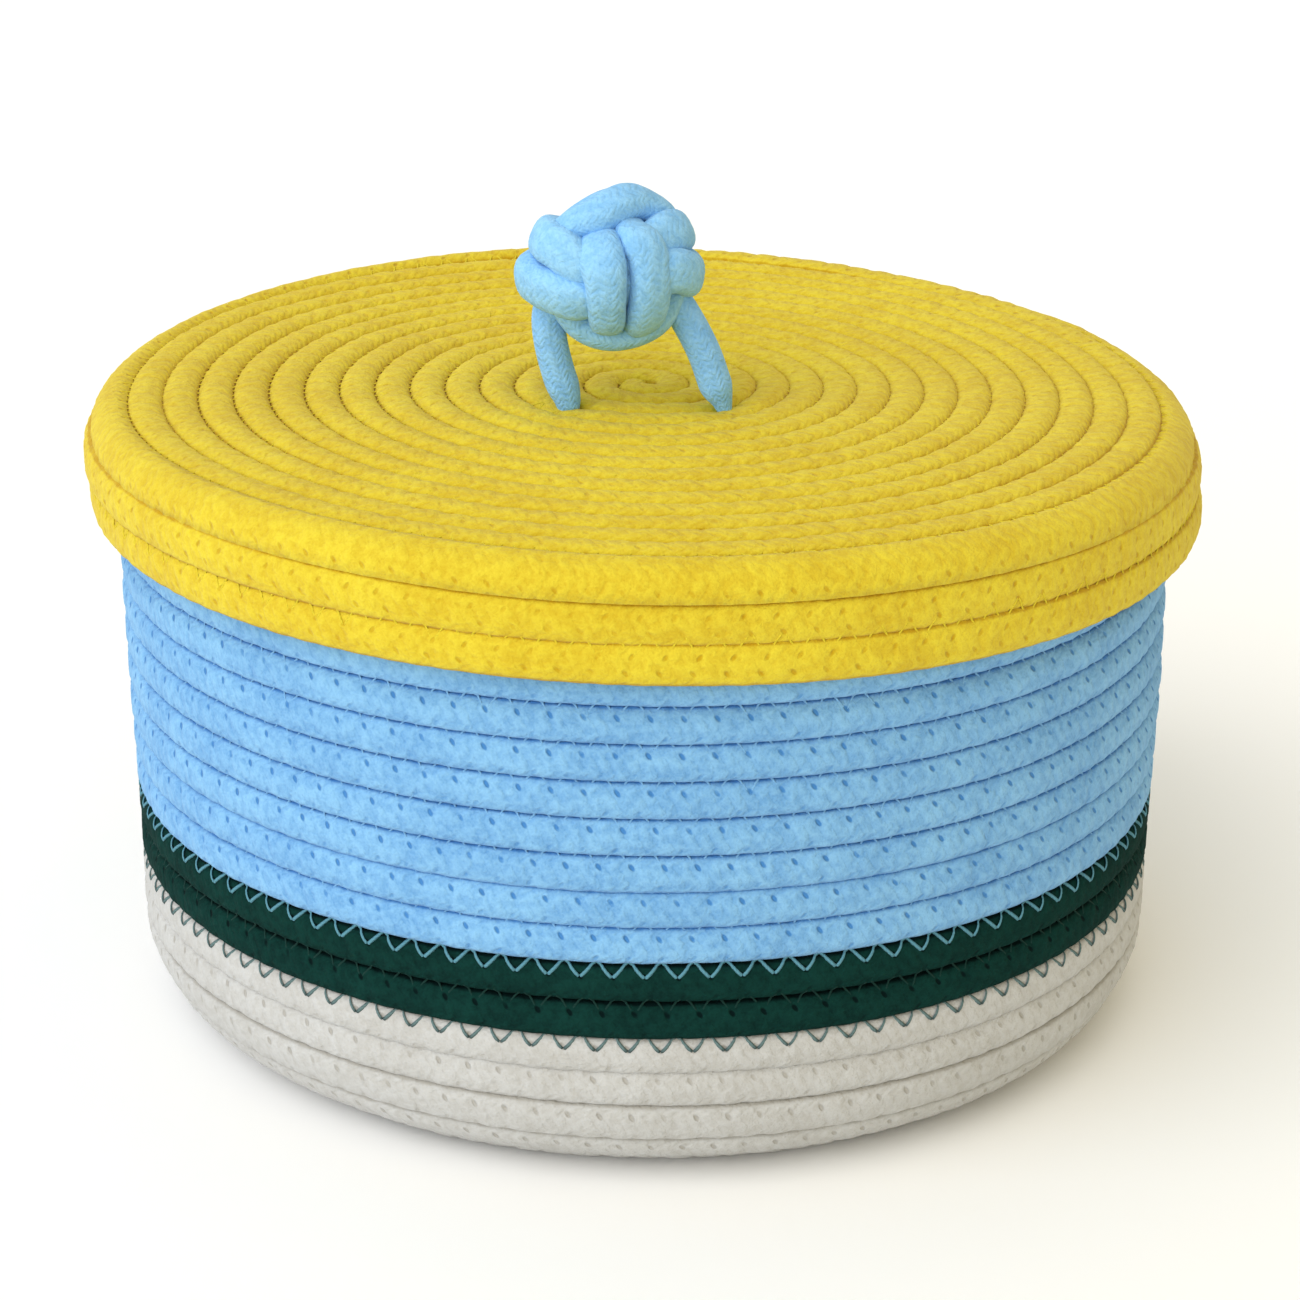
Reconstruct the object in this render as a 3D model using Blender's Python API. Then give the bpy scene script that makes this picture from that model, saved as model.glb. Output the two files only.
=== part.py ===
"""Lidded tub of coiled, sewn cotton rope with a knotted rope handle.

Metres, +Z up. The origin is the middle of the underside, on the floor. The front is at -Y.
One rope starts at the middle of the bottom and climbs clockwise, seen from above, in cream,
green and blue. A second rope makes the lid and runs outwards and down, counter-clockwise.
Rows lie level round the front and sides, and each climbs to the next one at the back.
"""
import math

import bmesh
import bpy
from mathutils import Vector
from mathutils.geometry import intersect_point_line

MM = 0.001

# Rope of the tub
WALL_PITCH = 8.86 * MM
BASE_ROPE_RADIUS = 4.35 * MM
WALL_ROPE_RADIUS = 4.7 * MM

# Shape of the tub, measured on the middle line of its rope
WALL_RADIUS = 123.4 * MM
WALL_LEAN_SHARE = 0.0125
CORNER_RADIUS = 19.5 * MM
TUB_START_RADIUS = 4.6 * MM
FOOT_FLAT_SHARE = 0.2
NECK_INSET = 3.2 * MM
NECK_LENGTH = 8.0 * MM

# Rows of the tub, from the edge of its bottom up
CREAM_ROWS = 5
CORNER_ROWS = 2
GREEN_ROWS = 2
BLUE_ROWS = 10
HIDDEN_ROWS = 2

# Rope and shape of the lid
LID_PITCH = 8.6 * MM
LID_SIDE_PITCH = 9.2 * MM
LID_ROPE_RADIUS = 4.35 * MM
LID_SIDE_ROWS = 3

# Fits
REST_GAP = 0.35 * MM
LID_CLEARANCE = 0.67 * MM
JOINT_GAP = 0.6 * MM
HOLE_GAP = 0.35 * MM
WELD = 0.01 * MM

# Lay of the rows
POINTS_PER_TURN = 18
COARSE_POINTS_PER_TURN = 9
COARSE_TURNS = 5
TUB_START_POINTS = 4
LID_START_POINTS = 6
TURN_ROUNDING_SHARE = 1e-6
CLIMB_SHARE = 1.0 / 3.0
BACK_ANGLE = math.radians(90.0)
QUARTER_TURN = math.pi / 2.0
SECTION_SIDES = 6
SECTION_TURN = math.pi / SECTION_SIDES

# Handle
HANDLE_ROPE_RADIUS = 4.15 * MM
HANDLE_Y = -20.0 * MM
FOOT_LEFT_X = -19.4 * MM
FOOT_RIGHT_X = 17.5 * MM
KNOT_X = -9.3 * MM
KNOT_RISE = 30.0 * MM
KNOT_HALF = (21.8 * MM, 20.5 * MM, 20.0 * MM)
KNOT_GROOVE_SHARE = 0.13
KNOT_CORNER_SHARE = 0.07
KNOT_CUTS = 7
LEG_ENTRY_SHARE = 0.55
LEG_BOW = 5.5 * MM
LEG_LEAN = 1.5 * MM
LEG_POINTS = 6
LEG_BEVEL_SEGMENTS = 2
FOOT_CAP_ANGLES = (15.0, 45.0, 70.0)

# Stopper knots under the lid
STOPPER_RADIUS = 7.2 * MM
STOPPER_DEPTH = 6.4 * MM
STOPPER_FLAT_SHARE = 0.7
STOPPER_SEGMENTS = 14
STOPPER_RINGS = 8

# Worked out from the sizes above
FLAT_COS = math.cos(SECTION_TURN)
BASE_Z = BASE_ROPE_RADIUS * (1.0 - FOOT_FLAT_SHARE)
FLAT_END_RADIUS = WALL_RADIUS - CORNER_RADIUS
FLAT_LENGTH = FLAT_END_RADIUS - TUB_START_RADIUS
CORNER_LENGTH = CORNER_RADIUS * QUARTER_TURN
BASE_ROWS = math.ceil(FLAT_LENGTH / WALL_PITCH)
FIRST_GREEN_ROW = BASE_ROWS + CREAM_ROWS
FIRST_BLUE_ROW = FIRST_GREEN_ROW + GREEN_ROWS
TOP_ROW = FIRST_BLUE_ROW + BLUE_ROWS - 1
ROW_STEP = 1.0 / POINTS_PER_TURN
HALF_STEP = ROW_STEP / 2.0


def top_row_height(row):
    """Height of a row's middle line on the straight wall."""
    return BASE_Z + CORNER_RADIUS + row * WALL_PITCH - FLAT_LENGTH - CORNER_LENGTH


WALL_TOP = top_row_height(TOP_ROW) + WALL_ROPE_RADIUS * FLAT_COS
NECK_TOP = top_row_height(TOP_ROW - HIDDEN_ROWS + 1)
NECK_RADIUS = WALL_RADIUS + WALL_LEAN_SHARE * (top_row_height(TOP_ROW) - BASE_Z - CORNER_RADIUS) - NECK_INSET
LID_RADIUS = NECK_RADIUS + WALL_ROPE_RADIUS + LID_CLEARANCE + LID_ROPE_RADIUS
LID_TURNS = math.floor((LID_RADIUS - LID_SIDE_PITCH) / LID_PITCH)
LID_Z = WALL_TOP + REST_GAP + LID_ROPE_RADIUS
LID_UNDERSIDE = LID_Z - LID_ROPE_RADIUS
LID_TOP = LID_Z + LID_ROPE_RADIUS
HANDLE_AXIS_Z = LID_TOP + HOLE_GAP + HANDLE_ROPE_RADIUS


def clear_scene():
    """Remove what the file holds at the start."""
    for item in list(bpy.data.objects):
        bpy.data.objects.remove(item)


def cotton(name, colour, roughness):
    """Dull cotton in one colour."""
    material = bpy.data.materials.new(name)
    material.use_nodes = True
    shader = material.node_tree.nodes["Principled BSDF"]
    shader.inputs["Base Color"].default_value = (*colour, 1.0)
    shader.inputs["Roughness"].default_value = roughness
    shader.inputs["Metallic"].default_value = 0.0
    return material


def add_object(name, data, material):
    """Link an object with its material."""
    item = bpy.data.objects.new(name, data)
    if material is not None:
        data.materials.append(material)
    bpy.context.scene.collection.objects.link(item)
    return item


def ease_both(share):
    """Start and stop gently."""
    return (1.0 - math.cos(math.pi * share)) / 2.0


def ease_in(share):
    """Start gently: the last flat turn waits until the row outside it has dropped."""
    return 1.0 - math.cos(math.pi * share / 2.0)


def ease_out(share):
    """Stop gently: a side row drops first, ahead of the turn inside it."""
    return math.sin(math.pi * share / 2.0)


def rank_of(turn, first, settled, ease):
    """Row number at a turn: a plain spiral at the middle, level rows further out."""
    whole = math.floor(turn + TURN_ROUNDING_SHARE)
    share = max(0.0, (turn - whole - 1.0 + CLIMB_SHARE) / CLIMB_SHARE)
    level = whole + ease(min(1.0, share))
    settle = min(1.0, max(0.0, (turn - first) / (settled - first)))
    return turn + settle * (level - turn)


def on_circle(radius, angle, height):
    """Point at a radius and an angle about the Z axis."""
    return Vector((radius * math.cos(angle), radius * math.sin(angle), height))


def tub_place(turn):
    """Middle line of the tub's rope, and how far its section has turned."""
    rank = rank_of(turn, 0.0, float(BASE_ROWS), ease_both)
    along = rank * WALL_PITCH - FLAT_LENGTH
    radius = FLAT_END_RADIUS + along
    height = BASE_Z
    bend = 0.0
    if along > CORNER_LENGTH:
        up = along - CORNER_LENGTH
        height = BASE_Z + CORNER_RADIUS + up
        drawn_in = min(1.0, max(0.0, (height - NECK_TOP + NECK_LENGTH) / NECK_LENGTH))
        radius = WALL_RADIUS + WALL_LEAN_SHARE * up - NECK_INSET * ease_both(drawn_in)
        bend = QUARTER_TURN
    elif along > 0.0:
        bend = along / CORNER_RADIUS
        radius = FLAT_END_RADIUS + CORNER_RADIUS * math.sin(bend)
        height = BASE_Z + CORNER_RADIUS * (1.0 - math.cos(bend))
    angle = BACK_ANGLE - math.pi * CLIMB_SHARE - 2.0 * math.pi * turn
    return on_circle(radius, angle, height), SECTION_TURN + bend


def lid_place(turn):
    """Middle line of the lid's rope, and how far its section has turned."""
    corner = LID_TURNS + 1
    ease = ease_in if turn < corner else ease_out
    rank = rank_of(turn, 0.0, float(LID_TURNS), ease)
    flat_side = min(1.0, max(0.0, rank - LID_TURNS))
    flat_top = min(0.0, rank - LID_TURNS)
    down = max(0.0, rank - corner)
    radius = LID_RADIUS - LID_SIDE_PITCH * (1.0 - flat_side) + LID_PITCH * flat_top
    height = LID_Z - LID_SIDE_PITCH * down
    bend = QUARTER_TURN * (flat_side + min(1.0, down)) / 2.0
    angle = BACK_ANGLE + math.pi * CLIMB_SHARE + 2.0 * math.pi * turn
    return on_circle(radius, angle, height), SECTION_TURN + bend


def end_place(place, turn, trim):
    """Point half-way along a chord, drawn back by trim, so that a joint's ends are square."""
    before, tilt_before = place(turn - HALF_STEP)
    after, tilt_after = place(turn + HALF_STEP)
    chord = (after - before).normalized()
    return (before + after) / 2.0 + chord * trim, (tilt_before + tilt_after) / 2.0


def rope_keys(first, last):
    """Steps round the coil between two turns: few near the middle, more further out."""
    coarse = POINTS_PER_TURN // COARSE_POINTS_PER_TURN
    lowest = math.ceil(first * POINTS_PER_TURN - TURN_ROUNDING_SHARE)
    highest = math.floor(last * POINTS_PER_TURN + TURN_ROUNDING_SHARE)
    limit = COARSE_TURNS * POINTS_PER_TURN
    return [key for key in range(lowest, highest + 1) if key >= limit or key % coarse == 0]


def tube_curve(name, points, radius, level, twist="Z_UP"):
    """Tube with filled ends along points, each with its tilt and its share of the radius."""
    curve = bpy.data.curves.new(name, "CURVE")
    curve.dimensions = "3D"
    curve.twist_mode = twist
    curve.bevel_depth = radius
    curve.bevel_resolution = level
    curve.render_resolution_u = 0
    curve.use_fill_caps = True
    spline = curve.splines.new("POLY")
    spline.points.add(len(points) - 1)
    for target, (place, tilt, share) in zip(spline.points, points):
        target.co = (*place, 1.0)
        target.tilt = tilt
        target.radius = share
    return curve


def mesh_of(curve):
    """Mesh of a tube curve."""
    holder = bpy.data.objects.new(curve.name, curve)
    bpy.context.scene.collection.objects.link(holder)
    bpy.context.view_layer.update()
    evaluated = holder.evaluated_get(bpy.context.evaluated_depsgraph_get())
    mesh = bpy.data.meshes.new_from_object(evaluated)
    bpy.data.objects.remove(holder)
    mesh.name = curve.name
    return mesh


def closed_mesh_of(curve):
    """Mesh of a tube curve with its end caps welded on, shaded smooth."""
    mesh = mesh_of(curve)
    shape = bmesh.new()
    shape.from_mesh(mesh)
    bmesh.ops.remove_doubles(shape, verts=shape.verts, dist=WELD)
    bmesh.ops.recalc_face_normals(shape, faces=shape.faces)
    shape.to_mesh(mesh)
    shape.free()
    mesh.shade_smooth()
    return mesh


def least_gap(mesh, keys):
    """Least distance between each section of a coil and the section one turn on.

    The sections are the mesh's last vertices, in order, after those of its two end caps.
    """
    rings = {}
    before = len(mesh.vertices) - len(keys) * SECTION_SIDES
    for number, key in enumerate(keys):
        start = before + number * SECTION_SIDES
        rings[key] = [mesh.vertices[start + side].co for side in range(SECTION_SIDES)]
    least = math.inf
    for key, ring in rings.items():
        other = rings.get(key + POINTS_PER_TURN)
        if other is None or math.isinf(key):
            continue
        for one, two in ((ring, other), (other, ring)):
            for side in range(SECTION_SIDES):
                start, end = two[side - 1], two[side]
                for point in one:
                    near, share = intersect_point_line(point, start, end)
                    held = start.lerp(end, min(1.0, max(0.0, share)))
                    least = min(least, (point - held).length)
    return least


def coil(name, place, first, last, radius, material, joins_before=True, joins_after=True):
    """One unbroken rope tube along a coil, between two turns."""
    if joins_before:
        keys = rope_keys(first + HALF_STEP, last - HALF_STEP)
        points = [(*end_place(place, first, JOINT_GAP / 2.0), 1.0)]
    else:
        keys = rope_keys(first, last - HALF_STEP)
        keys = keys[:1] + keys[2:]
        points = []
    points += [(*place(key / POINTS_PER_TURN), 1.0) for key in keys]
    trim = -JOINT_GAP / 2.0 if joins_after else 0.0
    points.append((*end_place(place, last, trim), 1.0))
    curve = tube_curve(name, points, radius, 1)
    end_keys = [-math.inf] if joins_before else []
    gap = least_gap(mesh_of(curve), end_keys + keys + [math.inf])
    print(f"{name}: {len(points)} points, least gap to itself {gap / MM:.2f} mm")
    return add_object(name, curve, material)


def boolean(item, other, operation):
    """Cut another object from this one, or join it on."""
    modifier = item.modifiers.new(other.name, "BOOLEAN")
    modifier.object = other
    modifier.operation = operation
    modifier.solver = "EXACT"
    other.hide_render = True
    other.display_type = "WIRE"


def as_mesh_object(item):
    """Replace a curve object by a mesh object of the same name and material."""
    curve = item.data
    name = item.name
    material = curve.materials[0]
    mesh = closed_mesh_of(curve)
    bpy.data.objects.remove(item)
    mesh.materials.clear()
    return add_object(name, mesh, material)


def box_mesh(name, low, high):
    """Box between two corners."""
    mesh = bpy.data.meshes.new(name)
    shape = bmesh.new()
    bmesh.ops.create_cube(shape, size=1.0)
    middle = (low + high) / 2.0
    size = high - low
    bmesh.ops.scale(shape, vec=size, verts=shape.verts)
    bmesh.ops.translate(shape, vec=middle, verts=shape.verts)
    shape.to_mesh(mesh)
    shape.free()
    return mesh


def build_tub(cream, green, blue):
    """Bottom and wall: one coil in five lengths, its underside cut flat."""
    start = TUB_START_POINTS / COARSE_POINTS_PER_TURN
    join = CLIMB_SHARE / 2.0 - HALF_STEP
    base_end = BASE_ROWS - join
    corner_end = BASE_ROWS + CORNER_ROWS - join
    cream_end = FIRST_GREEN_ROW - join
    green_end = FIRST_BLUE_ROW - join
    blue_end = TOP_ROW + 1.0 - CLIMB_SHARE - HALF_STEP
    base = coil("base_rope", tub_place, start, base_end, BASE_ROPE_RADIUS, cream, joins_before=False)
    base = as_mesh_object(base)
    reach = WALL_RADIUS
    slab = box_mesh("floor_cut", Vector((-reach, -reach, -CORNER_RADIUS)), Vector((reach, reach, 0.0)))
    boolean(base, add_object("floor_cut", slab, None), "DIFFERENCE")
    coil("cream_corner_rope", tub_place, base_end, corner_end, BASE_ROPE_RADIUS, cream)
    coil("cream_wall_rope", tub_place, corner_end, cream_end, BASE_ROPE_RADIUS, cream)
    coil("green_rope", tub_place, cream_end, green_end, WALL_ROPE_RADIUS, green)
    coil("blue_rope", tub_place, green_end, blue_end, WALL_ROPE_RADIUS, blue, joins_after=False)


def build_lid(yellow):
    """Lid: a flat coil and its side, one rope in two lengths."""
    start = LID_START_POINTS / COARSE_POINTS_PER_TURN
    flat_end = LID_TURNS + 1.0 - CLIMB_SHARE - HALF_STEP
    side_end = LID_TURNS + 1.0 + LID_SIDE_ROWS - CLIMB_SHARE - HALF_STEP
    coil("lid_top_rope", lid_place, start, flat_end, LID_ROPE_RADIUS, yellow, joins_before=False)
    coil("lid_rim_rope", lid_place, flat_end, side_end, LID_ROPE_RADIUS, yellow, joins_after=False)


def knot_reach(direction):
    """Reach of the knot: each of six faces shows two strands side by side.

    The strands run up and down on the front and back, from front to back on the left and
    right, and from left to right on the top and the underside.
    """
    sizes = [abs(value) for value in direction]
    face = sizes.index(max(sizes))
    across = {0: 2, 1: 0, 2: 1}[face]
    along = 3 - face - across
    flat = Vector(direction) / sizes[face]
    lobe = math.sqrt(abs(math.sin(math.pi * flat[across])))
    dive = flat[along] ** 2
    return 1.0 - KNOT_GROOVE_SHARE * (1.0 - lobe) - KNOT_CORNER_SHARE * dive


def knot_mesh(name, middle):
    """Round knot with the grooves between its strands."""
    mesh = bpy.data.meshes.new(name)
    shape = bmesh.new()
    bmesh.ops.create_cube(shape, size=2.0)
    bmesh.ops.subdivide_edges(shape, edges=shape.edges, cuts=KNOT_CUTS, use_grid_fill=True)
    for vertex in shape.verts:
        flat = vertex.co.copy()
        round_way = Vector([math.tan(value * math.pi / 4.0) for value in flat]).normalized()
        reach = knot_reach(flat)
        vertex.co = middle + Vector([way * half * reach for way, half in zip(round_way, KNOT_HALF)])
    bmesh.ops.recalc_face_normals(shape, faces=shape.faces)
    shape.to_mesh(mesh)
    shape.free()
    mesh.shade_smooth()
    return mesh


def leg_points(foot, knee, entry):
    """Leg from its rounded foot, through its bowed middle, into the knot."""
    points = []
    for degrees in FOOT_CAP_ANGLES:
        turned = math.radians(degrees)
        drop = Vector((0.0, 0.0, -HANDLE_ROPE_RADIUS * math.cos(turned)))
        points.append((foot + drop, 0.0, math.sin(turned)))
    for number in range(LEG_POINTS + 1):
        share = number / LEG_POINTS
        low = foot.lerp(knee, share)
        high = knee.lerp(entry, share)
        points.append((low.lerp(high, share), 0.0, 1.0))
    return points


def build_handle(blue):
    """Handle: one rope, its two legs and the knot between them, on the tilt axis."""
    pivot = Vector((0.0, HANDLE_Y, HANDLE_AXIS_Z))
    middle = Vector((KNOT_X, HANDLE_Y, HANDLE_AXIS_Z + KNOT_RISE)) - pivot
    reach = KNOT_HALF[0] * LEG_ENTRY_SHARE
    bow = Vector((LEG_BOW, 0.0, 0.0))
    lean = Vector((LEG_LEAN, 0.0, 0.0))
    rise = Vector((0.0, 0.0, KNOT_RISE / 2.0))
    left_foot = Vector((FOOT_LEFT_X, 0.0, 0.0))
    right_foot = Vector((FOOT_RIGHT_X, 0.0, 0.0))
    left = leg_points(left_foot, left_foot + rise - bow, middle - Vector((reach, 0.0, 0.0)))
    right = leg_points(right_foot, right_foot + rise - lean, middle + Vector((reach, 0.0, 0.0)))
    handle = add_object("handle_rope", knot_mesh("handle_rope", middle), blue)
    handle.location = pivot
    for name, points in (("left_leg_form", left), ("right_leg_form", right)):
        curve = tube_curve(name, points, HANDLE_ROPE_RADIUS, LEG_BEVEL_SEGMENTS, "MINIMUM")
        mesh = closed_mesh_of(curve)
        leg = add_object(name, mesh, None)
        leg.location = pivot
        boolean(handle, leg, "UNION")


def build_stoppers(blue):
    """Stopper knots of the handle's two ends, pulled flat against the lid's underside."""
    height = LID_UNDERSIDE - HOLE_GAP - STOPPER_DEPTH * STOPPER_FLAT_SHARE
    size = Vector((STOPPER_RADIUS, STOPPER_RADIUS, STOPPER_DEPTH))
    for name, place_x in (("stopper_knot_left", FOOT_LEFT_X), ("stopper_knot_right", FOOT_RIGHT_X)):
        mesh = bpy.data.meshes.new(name)
        shape = bmesh.new()
        bmesh.ops.create_uvsphere(
            shape, u_segments=STOPPER_SEGMENTS, v_segments=STOPPER_RINGS, radius=1.0)
        for vertex in shape.verts:
            vertex.co.z = min(vertex.co.z, STOPPER_FLAT_SHARE)
        bmesh.ops.scale(shape, vec=size, verts=shape.verts)
        shape.to_mesh(mesh)
        shape.free()
        mesh.shade_smooth()
        add_object(name, mesh, blue).location = (place_x, HANDLE_Y, height)


def main():
    """Build the tub, the lid and the handle."""
    clear_scene()
    cream = cotton("cream_cotton", (0.716, 0.680, 0.610), 0.92)
    green = cotton("green_cotton", (0.0097, 0.0704, 0.0529), 0.90)
    blue = cotton("blue_cotton", (0.242, 0.515, 0.871), 0.92)
    yellow = cotton("yellow_cotton", (0.855, 0.680, 0.021), 0.90)
    build_tub(cream, green, blue)
    build_lid(yellow)
    build_handle(blue)
    build_stoppers(blue)
    print(f"wall top {WALL_TOP / MM:.2f} mm, lid top {LID_TOP / MM:.2f} mm")
    print(f"handle axis {HANDLE_AXIS_Z / MM:.2f} mm")


main()
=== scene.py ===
"""Looks of a lidded tub of coiled, sewn cotton rope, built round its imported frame.

Metres, +Z up, the front at -Y. The coils repeat the rows of the part's source: rows lie level round
the front and sides, and each climbs to the next one at the back. On them lie the zigzag threads that
sew row to row, and the handle is soft rope, with a round knot of wraps between two legs.
"""
from __future__ import annotations

import logging
import math
from collections.abc import Callable, Sequence
from dataclasses import dataclass, field, replace
from enum import Enum

import bmesh
import bpy
import numpy as np
from mathutils import Matrix, Vector


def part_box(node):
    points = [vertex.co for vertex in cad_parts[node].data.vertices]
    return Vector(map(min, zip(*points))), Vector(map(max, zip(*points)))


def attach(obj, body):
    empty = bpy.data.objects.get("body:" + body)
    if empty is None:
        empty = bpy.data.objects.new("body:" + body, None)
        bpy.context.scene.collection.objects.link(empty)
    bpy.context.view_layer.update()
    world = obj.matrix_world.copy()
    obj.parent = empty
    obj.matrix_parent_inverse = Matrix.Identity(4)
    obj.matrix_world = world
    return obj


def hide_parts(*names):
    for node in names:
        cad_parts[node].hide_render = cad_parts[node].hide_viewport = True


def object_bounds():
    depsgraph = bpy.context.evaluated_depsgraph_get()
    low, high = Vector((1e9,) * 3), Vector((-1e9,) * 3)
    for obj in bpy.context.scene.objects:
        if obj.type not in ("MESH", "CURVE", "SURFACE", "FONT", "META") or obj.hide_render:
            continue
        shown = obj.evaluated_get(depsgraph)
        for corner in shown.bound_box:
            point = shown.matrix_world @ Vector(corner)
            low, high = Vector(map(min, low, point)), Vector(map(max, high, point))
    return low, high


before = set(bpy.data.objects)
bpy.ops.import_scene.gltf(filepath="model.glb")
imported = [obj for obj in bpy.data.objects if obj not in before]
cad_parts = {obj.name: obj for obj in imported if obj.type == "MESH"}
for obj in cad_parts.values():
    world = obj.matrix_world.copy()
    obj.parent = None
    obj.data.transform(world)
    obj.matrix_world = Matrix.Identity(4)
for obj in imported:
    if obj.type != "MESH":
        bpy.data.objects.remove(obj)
CAD_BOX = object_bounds()

LOG = logging.getLogger("basket")
MM = 0.001
WELD = 0.001 * MM
TINY = 1e-9
UP = np.array([0.0, 0.0, 1.0])
RIGHT = np.array([1.0, 0.0, 0.0])
FRONT = np.array([0.0, -1.0, 0.0])
STITCH_LENGTH = 7.05 * MM
TUB_PITCH = 8.86 * MM
LID_PITCH = 8.6 * MM
LID_SIDE_PITCH = 9.2 * MM
CUT_ROUNDING = 1.0 * MM
BUMP_STRENGTH = 0.7


class Cotton(Enum):
    """Colours of the basket's cotton, by the names of their material slots."""

    CREAM = "cream_cotton"
    GREEN = "green_cotton"
    BLUE = "blue_cotton"
    YELLOW = "yellow_cotton"


class Body(Enum):
    """What moves as one."""

    BASKET = "basket"
    LID = "lid"
    HANDLE = "handle"


class Face(Enum):
    """Sides of a sewn sheet of rows."""

    OUTSIDE = 1.0
    INSIDE = -1.0


def ease_both(share: np.ndarray) -> np.ndarray:
    """Start and stop gently."""
    return (1.0 - np.cos(np.pi * share)) / 2.0


def ease_in(share: np.ndarray) -> np.ndarray:
    """Start gently."""
    return 1.0 - np.cos(np.pi * share / 2.0)


def ease_out(share: np.ndarray) -> np.ndarray:
    """Stop gently."""
    return np.sin(np.pi * share / 2.0)


def unit(vectors: np.ndarray) -> np.ndarray:
    """Vectors at length one, along the last axis."""
    return vectors / np.linalg.norm(vectors, axis=-1, keepdims=True)


def distances(line: np.ndarray) -> np.ndarray:
    """Distance along a line of points to each of them, in metres."""
    return np.concatenate([[0.0], np.cumsum(np.linalg.norm(np.diff(line, axis=0), axis=1))])


def level_way(angle: np.ndarray) -> np.ndarray:
    """Level direction at each angle, counter-clockwise from the right."""
    return np.stack([np.cos(angle), np.sin(angle), np.zeros_like(angle)], axis=1)


def signed_power(values: np.ndarray, power: float) -> np.ndarray:
    """Power of the size of each value, with its sign kept."""
    return np.sign(values) * np.abs(values) ** power


@dataclass(frozen=True)
class CoilPlaces:
    """Middle line of a rope in a coil, with the ways out of the sheet and on to the next row.

    squeezed: How much thinner the rope is on either side of its middle line.
    corner: Share to which it fills the rounded corner between a flat sheet and an upright one.
    fan: How much wider it is for each metre out of its middle line, where the sheet bends.
    """

    middle: np.ndarray
    outward: np.ndarray
    onward: np.ndarray
    squeezed: np.ndarray = field(default_factory=lambda: np.zeros(1))
    corner: np.ndarray = field(default_factory=lambda: np.zeros(1))
    fan: np.ndarray = field(default_factory=lambda: np.zeros(1))


@dataclass(frozen=True)
class Coil:
    """What the two coils share: how turns become rows, and where stitches fall.

    outward_waves: Of each wave outwards, millimetres along X, Y and Z for a radian, and its start.
    upward_waves: The same of each wave upwards.
    """

    first_turn: float
    last_turn: float
    climb_share: float = 1.0 / 3.0
    back_angle: float = math.radians(90.0)
    stitch_length: float = STITCH_LENGTH
    samples_per_turn: int = 360
    sag: float = 0.25 * MM
    upward_share: float = 0.6
    outward_waves: tuple[tuple[float, ...], ...] = ((31.0, math.inf, 23.0, 0.0), (math.inf, 27.0, -17.0, 1.3))
    upward_waves: tuple[tuple[float, ...], ...] = ((41.0, -37.0, math.inf, 0.7), (53.0, 19.0, math.inf, 2.1))

    def rank(self, turn: np.ndarray, settled: float,
             ease: Callable[[np.ndarray], np.ndarray]) -> np.ndarray:
        """Row number at each turn: a plain spiral at the middle, level rows further out.

        Args:
            turn: Turns from the coil's middle.
            settled: Turn from which the rows lie level.
            ease: How a row climbs.

        Returns:
            The row numbers.
        """
        whole = np.floor(turn + TINY)
        share = np.clip((turn - whole - 1.0 + self.climb_share) / self.climb_share, 0.0, 1.0)
        settle = np.clip(turn / settled, 0.0, 1.0)
        return turn + settle * (whole + ease(share) - turn)

    def places(self, turn: np.ndarray) -> CoilPlaces:
        """Middle line at the given turns.

        Args:
            turn: Turns from the coil's middle.

        Returns:
            The places, with the ways out of the sheet and on to the next row.
        """
        raise NotImplementedError

    def wobble(self, middle: np.ndarray) -> np.ndarray:
        """Slow unevenness of hand sewing, alike in neighbouring rows.

        Args:
            middle: Points on the rope's middle line.

        Returns:
            A shift for each point, in metres.
        """
        outward, upward = (sum(np.sin((middle / MM / np.array(wave[:3])).sum(axis=1) + wave[3])
                               for wave in waves)
                           for waves in (self.outward_waves, self.upward_waves))
        radial = unit(middle * np.array([1.0, 1.0, 0.0]) + WELD)
        return self.sag * (outward[:, None] * radial + (self.upward_share * upward)[:, None] * UP)

    def turns(self, first: float, last: float, step: float) -> np.ndarray:
        """Turns between two turns, an even distance apart along the rope.

        Args:
            first: First turn.
            last: Last turn.
            step: Distance between them, in metres.

        Returns:
            The turns, ends included.
        """
        fine = np.linspace(first, last, max(8, int((last - first) * self.samples_per_turn)))
        length = distances(self.places(fine).middle)
        count = max(4, int(length[-1] / step))
        return np.interp(np.linspace(0.0, length[-1], count + 1), length, fine)

    def stitches(self, turn: np.ndarray) -> np.ndarray:
        """Stitches sewn between each turn and the next one, counted from the coil's middle.

        Args:
            turn: Turns on the inner side of the seam.

        Returns:
            The count at each turn, with its fraction.
        """
        samples = int((self.last_turn - self.first_turn) * self.samples_per_turn)
        fine = np.linspace(self.first_turn - 1.0, self.last_turn, samples)
        seam = (self.places(fine).middle + self.places(fine + 1.0).middle) / 2.0
        return np.interp(turn, fine, distances(seam) / self.stitch_length)


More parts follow.
